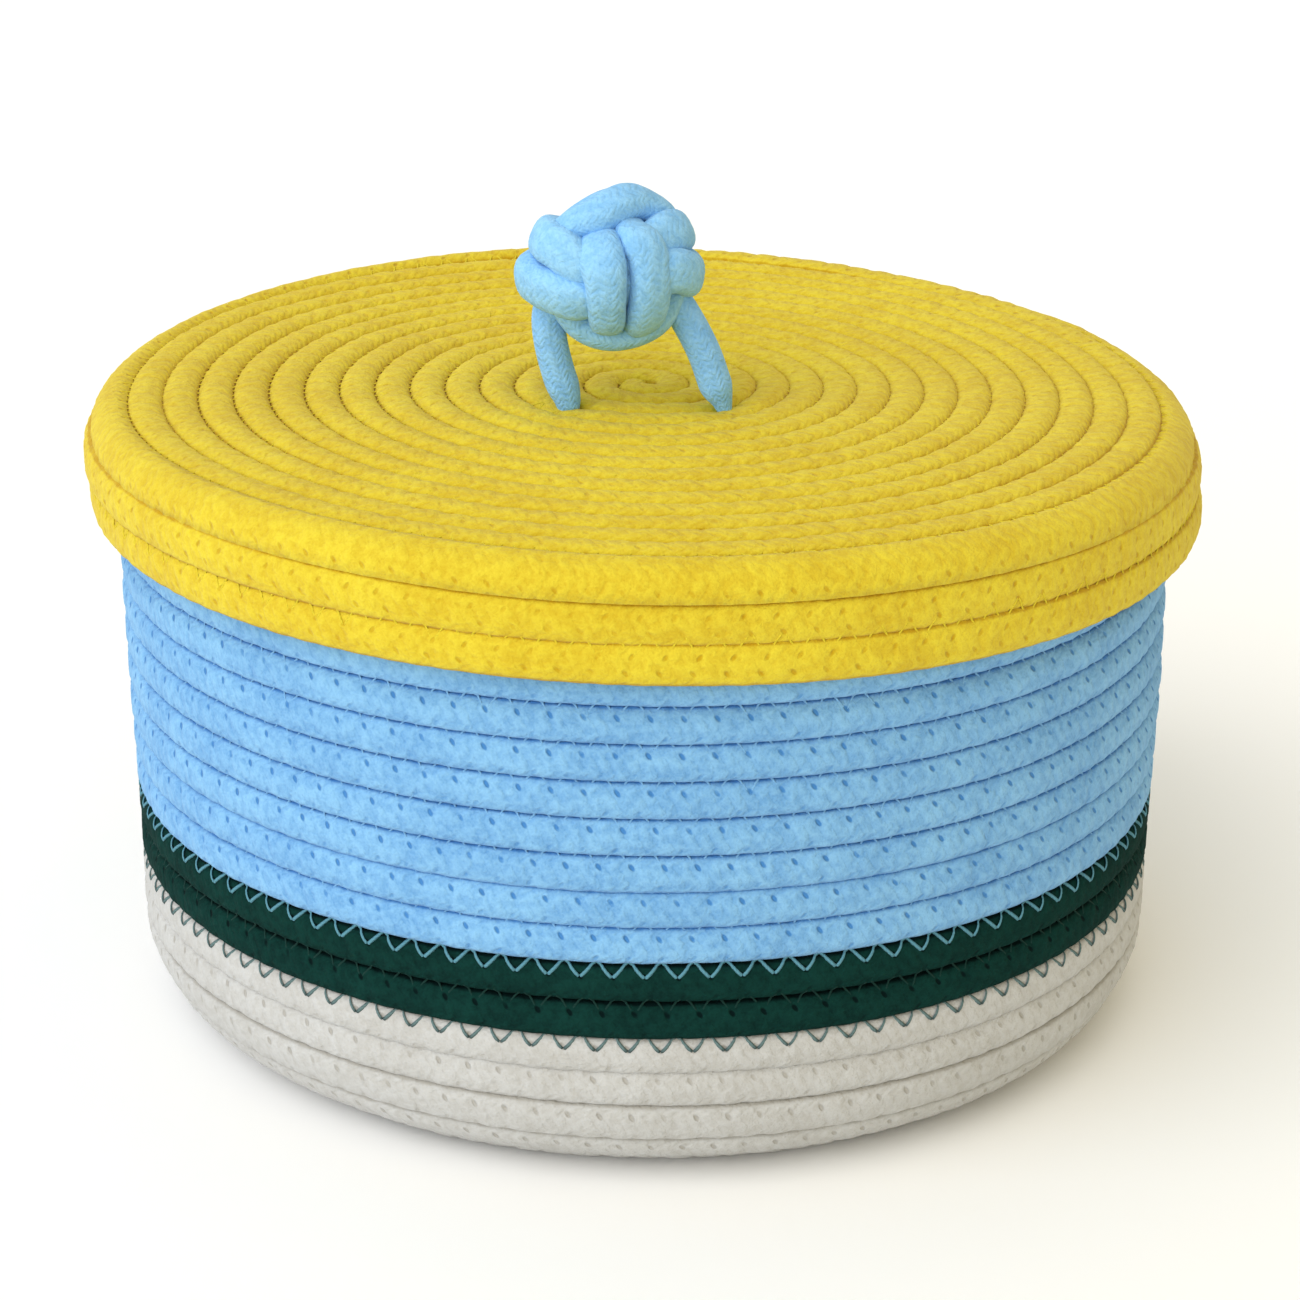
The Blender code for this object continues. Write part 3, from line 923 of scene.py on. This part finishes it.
@dataclass(frozen=True)
class SewnRows:
    """Rope of one colour in a coil, with the stitches' pull in its surface.

    lump_waves: Of each wave, millimetres along for a radian, waves round the rope, and its start.
    """

    name: str
    coil: Coil
    first: float
    last: float
    section: RopeSection
    sewing: Sewing
    first_rounding: float = CUT_ROUNDING
    last_rounding: float = CUT_ROUNDING
    step: float = 1.28 * MM
    end_steps: tuple[float, ...] = (0.0, 0.02, 0.08, 0.2, 0.4, 0.7)
    end_gap: float = 0.2
    pull_depth: float = 0.28 * MM
    pull_width: float = 0.7 * MM
    lump: float = 0.1 * MM
    lump_waves: tuple[tuple[float, ...], ...] = ((0.93, 2.0, 0.0), (1.71, -1.0, 1.1),
                                                 (4.3, 0.0, 0.4), (11.7, 1.0, 0.0))
    axis_gap: float = 0.05 * MM

    def mesh(self) -> bpy.types.Mesh:
        """Model the rope.

        Returns:
            One closed mesh.
        """
        turn = self.sampled_turns()
        place = self.coil.places(turn)
        length = distances(place.middle)
        across, out = self.section.outline()
        corner_across, corner_out, corner_seams = self.section.corner_outline()
        share, corner = self.end_share(length)[:, None], place.corner[:, None]
        plain = (across[None, :] * (1.0 - corner) + corner_seams[None, :] * corner) * share
        thinner = 1.0 - place.squeezed[:, None] / self.section.half_thickness
        wide = (across[None, :] * (1.0 - corner) + corner_across[None, :] * corner) * share
        tall = (out[None, :] * (1.0 - corner) + corner_out[None, :] * corner) * share * thinner
        seams = {"seam_after": self.coil.stitches(turn), "seam_before": self.coil.stitches(turn - 1.0)}
        pull = self.pull(seams["seam_after"], plain, self.sewing.after)
        pull = np.maximum(pull, self.pull(seams["seam_before"], -plain, self.sewing.before))
        tall = tall - np.sign(tall) * np.minimum(pull * self.pull_depth + self.lumps(length), np.abs(tall))
        inside = np.linalg.norm(place.middle[:, :2], axis=1)[:, None]
        flat = np.abs(place.onward[:, 2:3])
        wide = np.where(flat < self.axis_gap, np.maximum(wide, self.axis_gap - inside), wide)
        wide = wide * (1.0 + place.fan[:, None] * tall)
        rings = place.middle[:, None, :] + wide[..., None] * place.onward[:, None, :]
        rings = rings + tall[..., None] * place.outward[:, None, :]
        rings[..., 2] = np.maximum(rings[..., 2], CAD_BOX[0].z)
        marks = {name: np.repeat(count[:, None], len(across), axis=1) for name, count in seams.items()}
        marks["across"] = plain
        return rolled_tube(self.name, rings, length, marks)

    def sampled_turns(self) -> np.ndarray:
        """Turns of the rings: an even step along the rope, closer at its rounded ends.

        Returns:
            The turns, ends included.
        """
        even = self.coil.turns(self.first, self.last, self.step)
        slope_first = (even[1] - even[0]) / self.step * self.first_rounding
        slope_last = (even[-1] - even[-2]) / self.step * self.last_rounding
        head = self.first + np.array(self.end_steps) * slope_first
        tail = self.last - np.array(self.end_steps[::-1]) * slope_last
        begin, stop = head[-1] + slope_first * self.end_gap, tail[0] - slope_last * self.end_gap
        return np.concatenate([head, even[(even > begin) & (even < stop)], tail])

    def end_share(self, length: np.ndarray) -> np.ndarray:
        """Share of the full section at each distance along the rope: its ends are rounded."""
        near = np.minimum(length / self.first_rounding, (length[-1] - length) / self.last_rounding)
        return np.sqrt(np.maximum(0.0, 1.0 - (1.0 - np.clip(near, 0.0, 1.0)) ** 2))

    def pull(self, seam: np.ndarray, across: np.ndarray, row: Stitches) -> np.ndarray:
        """How much each point is drawn in by the stitches of one edge, from 0 to 1.

        Args:
            seam: Stitches counted along the seam.
            across: Distance across the row, towards that edge.
            row: How the stitches lie.

        Returns:
            The share of the full pull.
        """
        away = (np.mod(seam + row.shift + 0.5, 1.0) - 0.5)[:, None] * self.sewing.length
        down = self.sewing.pitch / 2.0 - across
        width = self.pull_width + row.spread * np.clip(1.0 - down / row.hole, 0.0, 1.0)
        past = np.maximum(0.0, down - row.hole) / self.pull_width
        return np.exp(-(away / width) ** 2 - past**2)

    def lumps(self, length: np.ndarray) -> np.ndarray:
        """Soft unevenness of the braid.

        Args:
            length: Distance along the rope to each ring, in metres.

        Returns:
            The depth at each point, in metres, as rings by sides.
        """
        turned = np.radians(np.array(self.section.angles, float))[None, :]
        waves = sum(np.sin(length[:, None] / MM / wave + whole * turned + start)
                    for wave, whole, start in self.lump_waves)
        return self.lump * waves / 2.0


@dataclass(frozen=True)
class ZigzagThread:
    """Thread that sews each row to the next, zigzag across the crease between them."""

    name: str
    coil: Coil
    first: float
    last: float
    section: RopeSection
    sewing: Sewing
    face: Face = Face.OUTSIDE
    half_width: float = 0.3 * MM
    half_height: float = 0.2 * MM
    shares: tuple[float, ...] = (0.0, 0.07, 0.25, 0.42, 0.58, 0.75, 0.93)
    sides: int = 4
    dip: float = 0.8 * MM
    dip_sharpness: int = 12
    hole_sharpness: int = 3
    sunk: float = 0.3 * MM
    sunk_next: float = 0.3 * MM
    bridge: float = 0.2 * MM

    def mesh(self) -> bpy.types.Mesh:
        """Model the thread.

        Returns:
            One closed mesh.
        """
        samples = int((self.last - self.first) * 2 * self.coil.samples_per_turn)
        fine = np.linspace(self.first, self.last, samples)
        count = self.coil.stitches(fine)
        whole = np.arange(math.ceil(count[0] * 2.0), math.floor(count[-1] * 2.0))
        halves = (whole[:, None] + np.array(self.shares)[None, :]).ravel()
        turn = np.interp(halves / 2.0, count, fine)
        sweep = np.abs(np.mod(halves, 2.0) - 1.0)
        before, after = self.coil.places(turn), self.coil.places(turn + 1.0)
        onward = unit(after.middle - before.middle)
        outward = before.outward + after.outward
        outward = unit(outward - onward * np.sum(outward * onward, axis=1, keepdims=True)) * self.face.value
        over = -self.sewing.after.hole + sweep * (self.sewing.after.hole + self.sewing.before.hole)
        held = np.maximum(np.abs(over), self.bridge)
        squeezed = np.where(over < 0.0, before.squeezed, after.squeezed)
        sunk = np.where(over < 0.0, self.sunk, self.sunk_next)
        rise = self.section.rise(self.sewing.pitch / 2.0 - held) - sunk - squeezed
        hole = np.abs(sweep - 0.5) * 2.0
        line = (before.middle + after.middle) / 2.0 + onward * over[:, None]
        line = line + outward * (rise - hole**self.dip_sharpness * self.dip)[:, None]
        line[:, 2] = np.maximum(line[:, 2], CAD_BOX[0].z + self.half_height)
        return self.tube(line, outward, hole**self.hole_sharpness)

    def tube(self, line: np.ndarray, outward: np.ndarray, hole: np.ndarray) -> bpy.types.Mesh:
        """Flat tube along a line of points.

        Args:
            line: Points on the thread's middle line.
            outward: The way out of the sheet at each.
            hole: How near each is to a needle hole, from 0 to 1.

        Returns:
            The mesh.
        """
        ahead = unit(np.gradient(line, axis=0))
        beside = unit(np.cross(ahead, outward)) * self.half_width
        over = unit(np.cross(beside, ahead)) * self.half_height
        turned = (np.arange(self.sides) / self.sides * 2.0 * math.pi)[None, :, None]
        ring = np.cos(turned) * beside[:, None, :] + np.sin(turned) * over[:, None, :]
        ring[[0, -1]] = 0.0
        marks = {"hole": np.repeat(hole[:, None], self.sides, axis=1)}
        return rolled_tube(self.name, line[:, None, :] + ring, distances(line), marks)


@dataclass(frozen=True)
class Strand:
    """Stretch of the handle's rope along given points, pressed flat against what it wraps."""

    name: str
    route: tuple[tuple[float, float, float], ...]
    half_width: float
    half_thickness: float
    looped: bool = True
    swells: tuple[float, ...] = ()
    under_reach: float = 12.0 * MM
    over_reach: float = 17.0 * MM
    under_share: float = 0.87
    steps: int = 14
    sides: int = 22
    squareness: float = 2.5
    pinched_from: float = -29.0 * MM
    pinched_to: float = -36.0 * MM
    pinch_share: float = 0.55

    def mesh(self, middle: Vector) -> bpy.types.Mesh:
        """Model the strand.

        Args:
            middle: Middle of the knot, which the route is measured from.

        Returns:
            One closed mesh.
        """
        swells = self.swells or (1.0,) * len(self.route)
        smooth = self.smooth_line(np.column_stack([np.array(self.route) * MM, swells]))
        line, swell = smooth[:, :3], smooth[:, 3]
        ahead = self.directions(line)
        outward = unit(line - ahead * np.sum(line * ahead, axis=1, keepdims=True))
        if not self.looped:
            outward = unit(FRONT - ahead * (ahead @ FRONT)[:, None])
        beside = np.cross(ahead, outward)
        reach = np.linalg.norm(line, axis=1)
        share = np.clip((reach - self.under_reach) / (self.over_reach - self.under_reach), 0.0, 1.0)
        share = self.under_share + (1.0 - self.under_share) * ease_both(share)
        share = share if self.looped else np.ones(len(line))
        pinched = (line[:, 2] - self.pinched_from) / (self.pinched_to - self.pinched_from)
        pinched = np.clip(pinched, 0.0, 1.0)
        share = share * self.end_share(line) * (1.0 - (1.0 - self.pinch_share) * ease_both(pinched))
        turned = np.arange(self.sides) / self.sides * 2.0 * math.pi
        wide = self.half_width * signed_power(np.cos(turned), 2.0 / self.squareness)
        tall = self.half_thickness * signed_power(np.sin(turned), 2.0 / self.squareness)
        ring = (swell[:, None] * wide[None, :])[..., None] * beside[:, None, :]
        ring = ring + tall[None, :, None] * outward[:, None, :]
        rings = line[:, None, :] + ring * share[:, None, None] + np.array(middle)
        return rolled_tube(self.name, rings, distances(line), {}, self.looped)

    def smooth_line(self, points: np.ndarray) -> np.ndarray:
        """Smooth line through the route's points.

        Args:
            points: The points, each with its swell as a fourth number.

        Returns:
            The line's points, with the same four numbers.
        """
        if self.looped:
            padded = np.concatenate([points[-1:], points, points[:2]])
        else:
            before, beyond = 2.0 * points[:1] - points[1:2], 2.0 * points[-1:] - points[-2:-1]
            padded = np.concatenate([before, points, beyond])
        part = (np.arange(self.steps) / self.steps)[:, None]
        parts = []
        for number in range(len(padded) - 3):
            one, two, three, four = (padded[number + step][None, :] for step in range(4))
            parts.append(0.5 * (2.0 * two + (three - one) * part
                                + (2.0 * one - 5.0 * two + 4.0 * three - four) * part**2
                                + (3.0 * two - one - 3.0 * three + four) * part**3))
        parts.append(padded[-2:-1])
        return np.concatenate(parts)

    def directions(self, line: np.ndarray) -> np.ndarray:
        """Way ahead at each point of the line.

        Args:
            line: The points.

        Returns:
            Directions of length one.
        """
        if not self.looped:
            return unit(np.gradient(line, axis=0))
        open_line = line[:-1]
        ahead = unit(np.roll(open_line, -1, axis=0) - np.roll(open_line, 1, axis=0))
        return np.concatenate([ahead, ahead[:1]])

    def end_share(self, line: np.ndarray) -> np.ndarray:
        """Rounded ends of a stretch that isn't looped.

        Args:
            line: Points on its middle line.

        Returns:
            Share of the full section at each.
        """
        if self.looped:
            return np.ones(len(line))
        length = distances(line)
        near = np.clip(np.minimum(length, length[-1] - length) / self.half_width, 0.0, 1.0)
        return np.sqrt(np.maximum(0.0, 1.0 - (1.0 - near) ** 2))


@dataclass
class Tub:
    """Coiled tub: cream bottom and corner, green and blue rows.

    cream_end: Turn at the back where the green rope takes over.
    green_end: Turn at the back where the blue rope takes over.
    """

    coil: TubCoil = field(default_factory=TubCoil)
    sewing: Sewing = Sewing()
    half_thickness: float = 4.6 * MM
    overlap: float = 0.35 * MM
    free_end: float = 9.0 * MM
    thread_sunk: float = 0.52 * MM
    thread_bridge: float = 0.0
    seam_half_width: float = 0.42 * MM
    seam_half_height: float = 0.22 * MM
    seam_bridge: float = 0.4 * MM
    seam_sunk_next: float = 0.65 * MM
    cream_end: float = 17.0 - 1.0 / 6.0 + 1.0 / 36.0
    green_end: float = 19.0 - 1.0 / 6.0 + 1.0 / 36.0

    def build(self) -> None:
        """Make the ropes and threads."""
        section = RopeSection(self.coil.pitch / 2.0 + self.overlap, self.half_thickness)
        lengths = (
            (Cotton.CREAM, "cream_rope", self.coil.first_turn, self.cream_end,
             ("base_rope", "cream_corner_rope", "cream_wall_rope")),
            (Cotton.GREEN, "green_rope_sewn", self.cream_end, self.green_end, ("green_rope",)),
            (Cotton.BLUE, "blue_rope_sewn", self.green_end, self.coil.last_turn, ("blue_rope",)),
        )
        for cotton, name, first, end, nodes in lengths:
            last = self.free_end if end == self.coil.last_turn else CUT_ROUNDING
            rows = SewnRows(name, self.coil, first, end, section, self.sewing, last_rounding=last)
            finish = replace(ROPES[cotton], sewing=self.sewing).material()
            place_piece(rows.mesh(), finish, Body.BASKET, nodes)
            for face in Face:
                thread = ZigzagThread(f"{name}_thread_{face.name.lower()}", self.coil, first, end - 1.0,
                                      section, self.sewing, face, sunk=self.thread_sunk,
                                      sunk_next=self.thread_sunk, bridge=self.thread_bridge)
                place_piece(thread.mesh(), THREADS[cotton].material(), Body.BASKET)
                if first > self.coil.first_turn:
                    seam = replace(thread, name=f"{name}_seam_{face.name.lower()}", first=first - 1.0,
                                   last=first, half_width=self.seam_half_width,
                                   half_height=self.seam_half_height, sunk=0.0,
                                   sunk_next=self.seam_sunk_next, bridge=self.seam_bridge, sewing=SEAM_SEWING)
                    place_piece(seam.mesh(), SEAM_THREADS[cotton].material(), Body.BASKET)


@dataclass
class Lid:
    """Coiled lid: flat top and turned-down side.

    top_end: Turn at the back where the top's node ends.
    join_overlap: Turns by which the side begins before that.
    """

    coil: LidCoil = field(default_factory=LidCoil)
    top_sewing: Sewing = Sewing(LID_PITCH, after=Stitches(3.0 * MM, 1.9 * MM, 0.5, 0.3),
                                before=Stitches(2.8 * MM, 1.7 * MM, 0.0, 0.3))
    side_sewing: Sewing = Sewing(LID_SIDE_PITCH, after=Stitches(3.2 * MM, 1.9 * MM, 0.5, 0.6),
                                 before=Stitches(3.0 * MM, 1.7 * MM, 0.0, 0.6))
    half_thickness: float = 4.45 * MM
    overlap: float = 0.35 * MM
    side_overlap: float = 0.85 * MM
    thread_sunk: float = 0.4 * MM
    top_end: float = 15.0 - 1.0 / 3.0 - 1.0 / 36.0
    join_overlap: float = 0.0006
    join_rounding: float = 0.3 * MM
    free_end: float = 9.0 * MM

    def build(self) -> None:
        """Make the ropes and threads."""
        coil, joined = self.coil, self.top_end - self.join_overlap
        lengths = (
            ("lid_top_sewn", coil.first_turn, self.top_end, "lid_top_rope", self.top_sewing, self.overlap,
             CUT_ROUNDING, self.join_rounding),
            ("lid_side_sewn", joined, coil.last_turn, "lid_rim_rope", self.side_sewing, self.side_overlap,
             self.join_rounding, self.free_end),
        )
        for name, first, end, node, sewing, overlap, head, tail in lengths:
            section = RopeSection(sewing.pitch / 2.0 + overlap, self.half_thickness)
            rows = SewnRows(name, coil, first, end, section, sewing, head, tail)
            finish = replace(ROPES[Cotton.YELLOW], sewing=sewing).material()
            place_piece(rows.mesh(), finish, Body.LID, (node,))
            sewn_from = max(coil.first_turn, first - 1.0)
            for face in Face:
                thread = ZigzagThread(f"{name}_thread_{face.name.lower()}", coil, sewn_from, end - 1.0,
                                      section, sewing, face, sunk=self.thread_sunk,
                                      sunk_next=self.thread_sunk)
                place_piece(thread.mesh(), THREADS[Cotton.YELLOW].material(), Body.LID)


@dataclass
class Handle:
    """Rope handle: two legs and a round knot of six wraps, with one more turn that fills it."""

    middle: Vector = field(default_factory=lambda: Vector((-8.7, -20.0, 188.75)) * MM)
    strand_width: float = 5.3 * MM
    strand_thickness: float = 3.9 * MM
    leg_radius: float = 4.05 * MM

    def strands(self) -> list[Strand]:
        """Route the knot's strands, in millimetres from its middle, front at -Y.

        Returns:
            The six wraps, and the turn inside them.
        """
        routes = {
            "front_left": ((-2.6, -7.5, 7.6), (-2.4, -12.4, 6.9), (-1.5, -15.4, 3.6), (-0.9, -16.2, 0.2),
                           (-0.7, -15.2, -5.4), (-0.5, -9.9, -11), (-1, 6, -11), (-2, 14.5, -8),
                           (-2.5, 17, 0), (-3, 14.8, 7), (-3.2, 7, 8.8), (-2.8, -2.5, 7.8)),
            "front_right": ((4.7, -6.8, 9.5), (6.9, -11.3, 8.4), (8.9, -12.7, 5.2), (9.6, -13.4, -0.8),
                            (9.1, -12, -6.8), (8, -8.3, -11), (7, -2, -12.6), (8, 6, -11.5), (8.5, 14, -7),
                            (8.5, 15.8, 1), (7, 12, 8), (4.6, 4, 9.8), (3.8, -1.8, 9.8)),
            "top_front": ((-6.6, -7.2, 11.7), (-2.8, -6.8, 13.5), (1.2, -4.4, 15.2), (5, -0.8, 15.5),
                          (9, 2.1, 13.2), (12, 4.2, 10.2), (14, 3.5, 4.5), (14.8, 0, -3), (11, -3, -12.4),
                          (1.5, -3, -16.4), (-7, -3, -13.8), (-12.5, -3, -5.5), (-13, -3.5, 3),
                          (-11.5, -5, 7.6), (-9.4, -6.5, 9.9)),
            "top_back": ((1, 9, 12.2), (8.5, 10, 9), (13, 9, 4), (14, 8, -5), (9, 8, -12), (0, 8, -14),
                         (-8, 8, -12), (-12.5, 8, -4), (-12, 8.5, 2), (-7.5, 9, 7.8)),
            "side_upper": ((-15, -2.2, 6.9), (-13.9, -7, 6.9), (-11.2, -10.4, 6), (-6.6, -12.9, 2.9),
                           (-0.5, -11, 2.4), (6, -10.4, 5.2), (13, -4.2, 8.6), (15.6, 1, 7.9), (14.2, 7, 6),
                           (6, 10.5, 6), (-5, 10.5, 5), (-12.3, 6.5, 4.9), (-14.6, 2, 6)),
            "side_lower": ((-18.8, -1.8, -2.6), (-16.6, -7.2, -3.4), (-13, -11.2, -4), (-7.5, -13.4, -5),
                           (0, -11, -4), (8, -11.2, -1), (15.2, -9, 1), (18.5, -2, -1.8), (15.5, 8.5, -2.5),
                           (6, 10.5, -4), (-6, 10.5, -4), (-15.5, 7.5, -3)),
            "inside": ((-9.5, 1.5, 2), (-6.5, 3.5, 5.5), (-1, 3, 6), (5, 1, 4.5), (5, 0, -2), (-2, 0, -5)),
        }
        widths = {"front_left": 4.9 * MM, "front_right": 5.0 * MM, "top_front": 5.0 * MM}
        swells = {"front_left": (1.15, 1.2, 1.15, 1.05, 0.97, 0.92, 1, 1, 1, 1, 1, 1),
                  "top_front": (0.88, 1, 1, 1, 1, 1, 1, 1, 1.1, 1.1, 1.1, 1, 0.9, 0.8, 0.8)}
        return [Strand(f"knot_strand_{name}", route, widths.get(name, self.strand_width),
                       self.strand_thickness, swells=swells.get(name, ()))
                for name, route in routes.items()]

    def legs(self) -> list[Strand]:
        """Route the two legs, from inside the lid's rope up into the knot.

        Returns:
            The left one and the right one.
        """
        routes = {
            "left": ((-9.4, 0, -38), (-10.2, 0, -33), (-12.2, 0, -27), (-14.1, -0.5, -19), (-14.5, -1, -12),
                     (-12.5, -1, -6)),
            "right": ((28.3, 0, -38), (27.1, 0, -33.5), (25.3, 0, -29), (22.8, 0, -22), (19.6, 0, -15.5),
                      (15.6, 0, -9), (11.5, 0, -4)),
        }
        pinched = {"left": 0.72, "right": 0.5}
        return [Strand(f"handle_leg_{name}", route, self.leg_radius, self.leg_radius, looped=False,
                       squareness=2.0, pinch_share=pinched[name])
                for name, route in routes.items()]

    def build(self) -> None:
        """Make the legs and the knot."""
        # The legs' finish is painted bluer against the lid's yellow bounce light.
        finish, blued_leg_finish = HANDLE_ROPE.material(), LEG_ROPE_BLUED_AGAINST_BOUNCE.material()
        for strand in self.legs():
            place_piece(strand.mesh(self.middle), blued_leg_finish, Body.HANDLE)
        for number, strand in enumerate(self.strands()):
            nodes = ("handle_rope",) if number == 0 else ()
            place_piece(strand.mesh(self.middle), finish, Body.HANDLE, nodes)


@dataclass
class StopperKnots:
    """Ends of the handle's rope, each in a small trefoil knot against the lid's underside."""

    rope_radius: float = 2.9 * MM

    def build(self) -> None:
        """Make both knots."""
        finish = HANDLE_ROPE.material()
        for name in ("stopper_knot_left", "stopper_knot_right"):
            low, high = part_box(name)
            middle = (low + high) / 2.0
            half = (high - low) / 2.0 - Vector((1.0, 1.0, 1.0)) * self.rope_radius
            turned = np.linspace(0.0, 2.0 * math.pi, 19)[:-1]
            swing = 2.0 + np.cos(3.0 * turned)
            points = np.stack([swing * np.cos(2.0 * turned) * half.x / 3.0,
                               swing * np.sin(2.0 * turned) * half.y / 3.0,
                               np.sin(3.0 * turned) * half.z], axis=1) / MM
            strand = Strand(f"{name}_tied", tuple(map(tuple, points)), self.rope_radius, self.rope_radius,
                            steps=8, sides=14, under_share=1.0)
            place_piece(strand.mesh(middle), finish, Body.LID, (name,))


SEAM_SEWING = Sewing(after=Stitches(2.7 * MM, 1.9 * MM, 0.5, 1.0),
                     before=Stitches(0.9 * MM, 1.6 * MM, 0.0, 0.35))
ROPES = {
    Cotton.CREAM: RopeFinish(Cotton.CREAM, (0.53, 0.53, 0.515), (0.39, 0.375, 0.34)),
    Cotton.GREEN: RopeFinish(Cotton.GREEN, (0.0045, 0.037, 0.030), (0.001, 0.008, 0.008), sheen=0.0),
    Cotton.BLUE: RopeFinish(Cotton.BLUE, (0.235, 0.49, 0.75), (0.055, 0.21, 0.50), crease_shade=0.75),
    Cotton.YELLOW: RopeFinish(Cotton.YELLOW, (0.71, 0.575, 0.035), (0.50, 0.30, 0.005), crease_shade=0.6),
}
HANDLE_ROPE = RopeFinish(Cotton.BLUE, (0.31, 0.62, 0.92), (0.12, 0.35, 0.68), braid_length=1.6 * MM,
                         braid_columns=14.0, braid_height=0.2, uneven=1.0 * MM)
# The legs are the same rope as the knot, painted bluer to cancel the yellow light that the lid throws up onto
# them.
LEG_ROPE_BLUED_AGAINST_BOUNCE = replace(HANDLE_ROPE, face=(0.29, 0.60, 1.0), dark_tone_and_shade=(0.11, 0.34, 0.76))
THREADS = {
    Cotton.CREAM: ThreadFinish("cream_thread", (0.55, 0.545, 0.51)),
    Cotton.GREEN: ThreadFinish("green_thread", (0.0045, 0.035, 0.028)),
    Cotton.BLUE: ThreadFinish("blue_thread", (0.21, 0.45, 0.71)),
    Cotton.YELLOW: ThreadFinish("yellow_thread", (0.68, 0.55, 0.03)),
}
SEAM_THREADS = {
    Cotton.GREEN: ThreadFinish("green_seam_thread", (0.12, 0.19, 0.19), 0.12),
    Cotton.BLUE: ThreadFinish("blue_seam_thread", (0.10, 0.27, 0.34)),
}


@dataclass
class Studio:
    """Pale floor, soft lights and the camera at the photograph's angle."""

    floor_half: float = 20.0
    floor_gap: float = 0.1 * MM
    camera_place: Vector = field(default_factory=lambda: Vector((0.0, -0.85643, 0.40695)))
    camera_tilt: float = 0.3611
    camera_yaw: float = 0.0022
    camera_roll: float = 0.0124
    lens: float = 100.4
    sensor: float = 36.0
    left_colour: tuple[float, float, float] = (0.97, 1.0, 1.04)
    right_colour: tuple[float, float, float] = (0.84, 0.74, 0.49)
    colour_span: tuple[float, float] = (-0.7, 0.9)
    world_strength: float = 0.93
    key_from: Vector = field(default_factory=lambda: Vector((-0.56, -0.6, 0.52)))
    key_angle: float = math.radians(70.0)
    key_strength: float = 1.78

    def build(self) -> None:
        """Make the floor, lights and camera."""
        self.add_floor()
        self.add_world()
        self.add_key()
        self.add_camera()
        bpy.context.scene.view_settings.view_transform = "Standard"

    def add_floor(self) -> None:
        """Plain pale floor."""
        shape = bmesh.new()
        below = Matrix.Translation((0.0, 0.0, CAD_BOX[0].z - self.floor_gap))
        bmesh.ops.create_grid(shape, x_segments=1, y_segments=1, size=self.floor_half, matrix=below)
        mesh = bpy.data.meshes.new("floor")
        shape.to_mesh(mesh)
        shape.free()
        floor = link_object("floor", mesh)
        made, _ = new_material("pale_floor", {"Base Color": (0.98, 0.98, 0.98, 1.0), "Roughness": 0.8,
                                              "Specular IOR Level": 0.1})
        mesh.materials.append(made)

    def add_world(self) -> None:
        """Pale surroundings, cool and bright on the left, warm and dimmer on the right."""
        world = bpy.data.worlds.new("studio")
        world.use_nodes = True
        kit = NodeKit(world.node_tree)
        background = world.node_tree.nodes["Background"]
        way = kit.add("ShaderNodeSeparateXYZ")
        kit.feed(way.inputs[0], kit.add("ShaderNodeTexCoord").outputs["Generated"])
        right = kit.ramp(way.outputs[0], *self.colour_span)
        colour = kit.blend(right, (*self.left_colour, 1.0), (*self.right_colour, 1.0))
        kit.feed(background.inputs["Color"], colour)
        background.inputs["Strength"].default_value = self.world_strength
        bpy.context.scene.world = world

    def add_key(self) -> None:
        """Wide sun from the upper left, in front."""
        lamp = bpy.data.lights.new("key", "SUN")
        lamp.angle = self.key_angle
        lamp.energy = self.key_strength
        light = link_object("key", lamp)
        light.rotation_euler = (-self.key_from).to_track_quat("-Z", "Y").to_euler()

    def add_camera(self) -> None:
        """Camera at the photograph's viewing angle."""
        lens = bpy.data.cameras.new("camera")
        lens.lens = self.lens
        lens.sensor_width = self.sensor
        camera = link_object("camera", lens)
        ahead = Vector((math.sin(self.camera_yaw) * math.cos(self.camera_tilt),
                        math.cos(self.camera_yaw) * math.cos(self.camera_tilt), -math.sin(self.camera_tilt)))
        camera.location = self.camera_place
        camera.rotation_euler = ahead.to_track_quat("-Z", "Y").to_euler()
        camera.rotation_euler.rotate_axis("Z", self.camera_roll)
        bpy.context.scene.camera = camera


def main() -> None:
    """Build the studio and the basket."""
    logging.basicConfig(level=logging.INFO, format="%(message)s")
    Studio().build()
    Tub().build()
    Lid().build()
    Handle().build()
    StopperKnots().build()


if __name__ == "__main__":
    main()
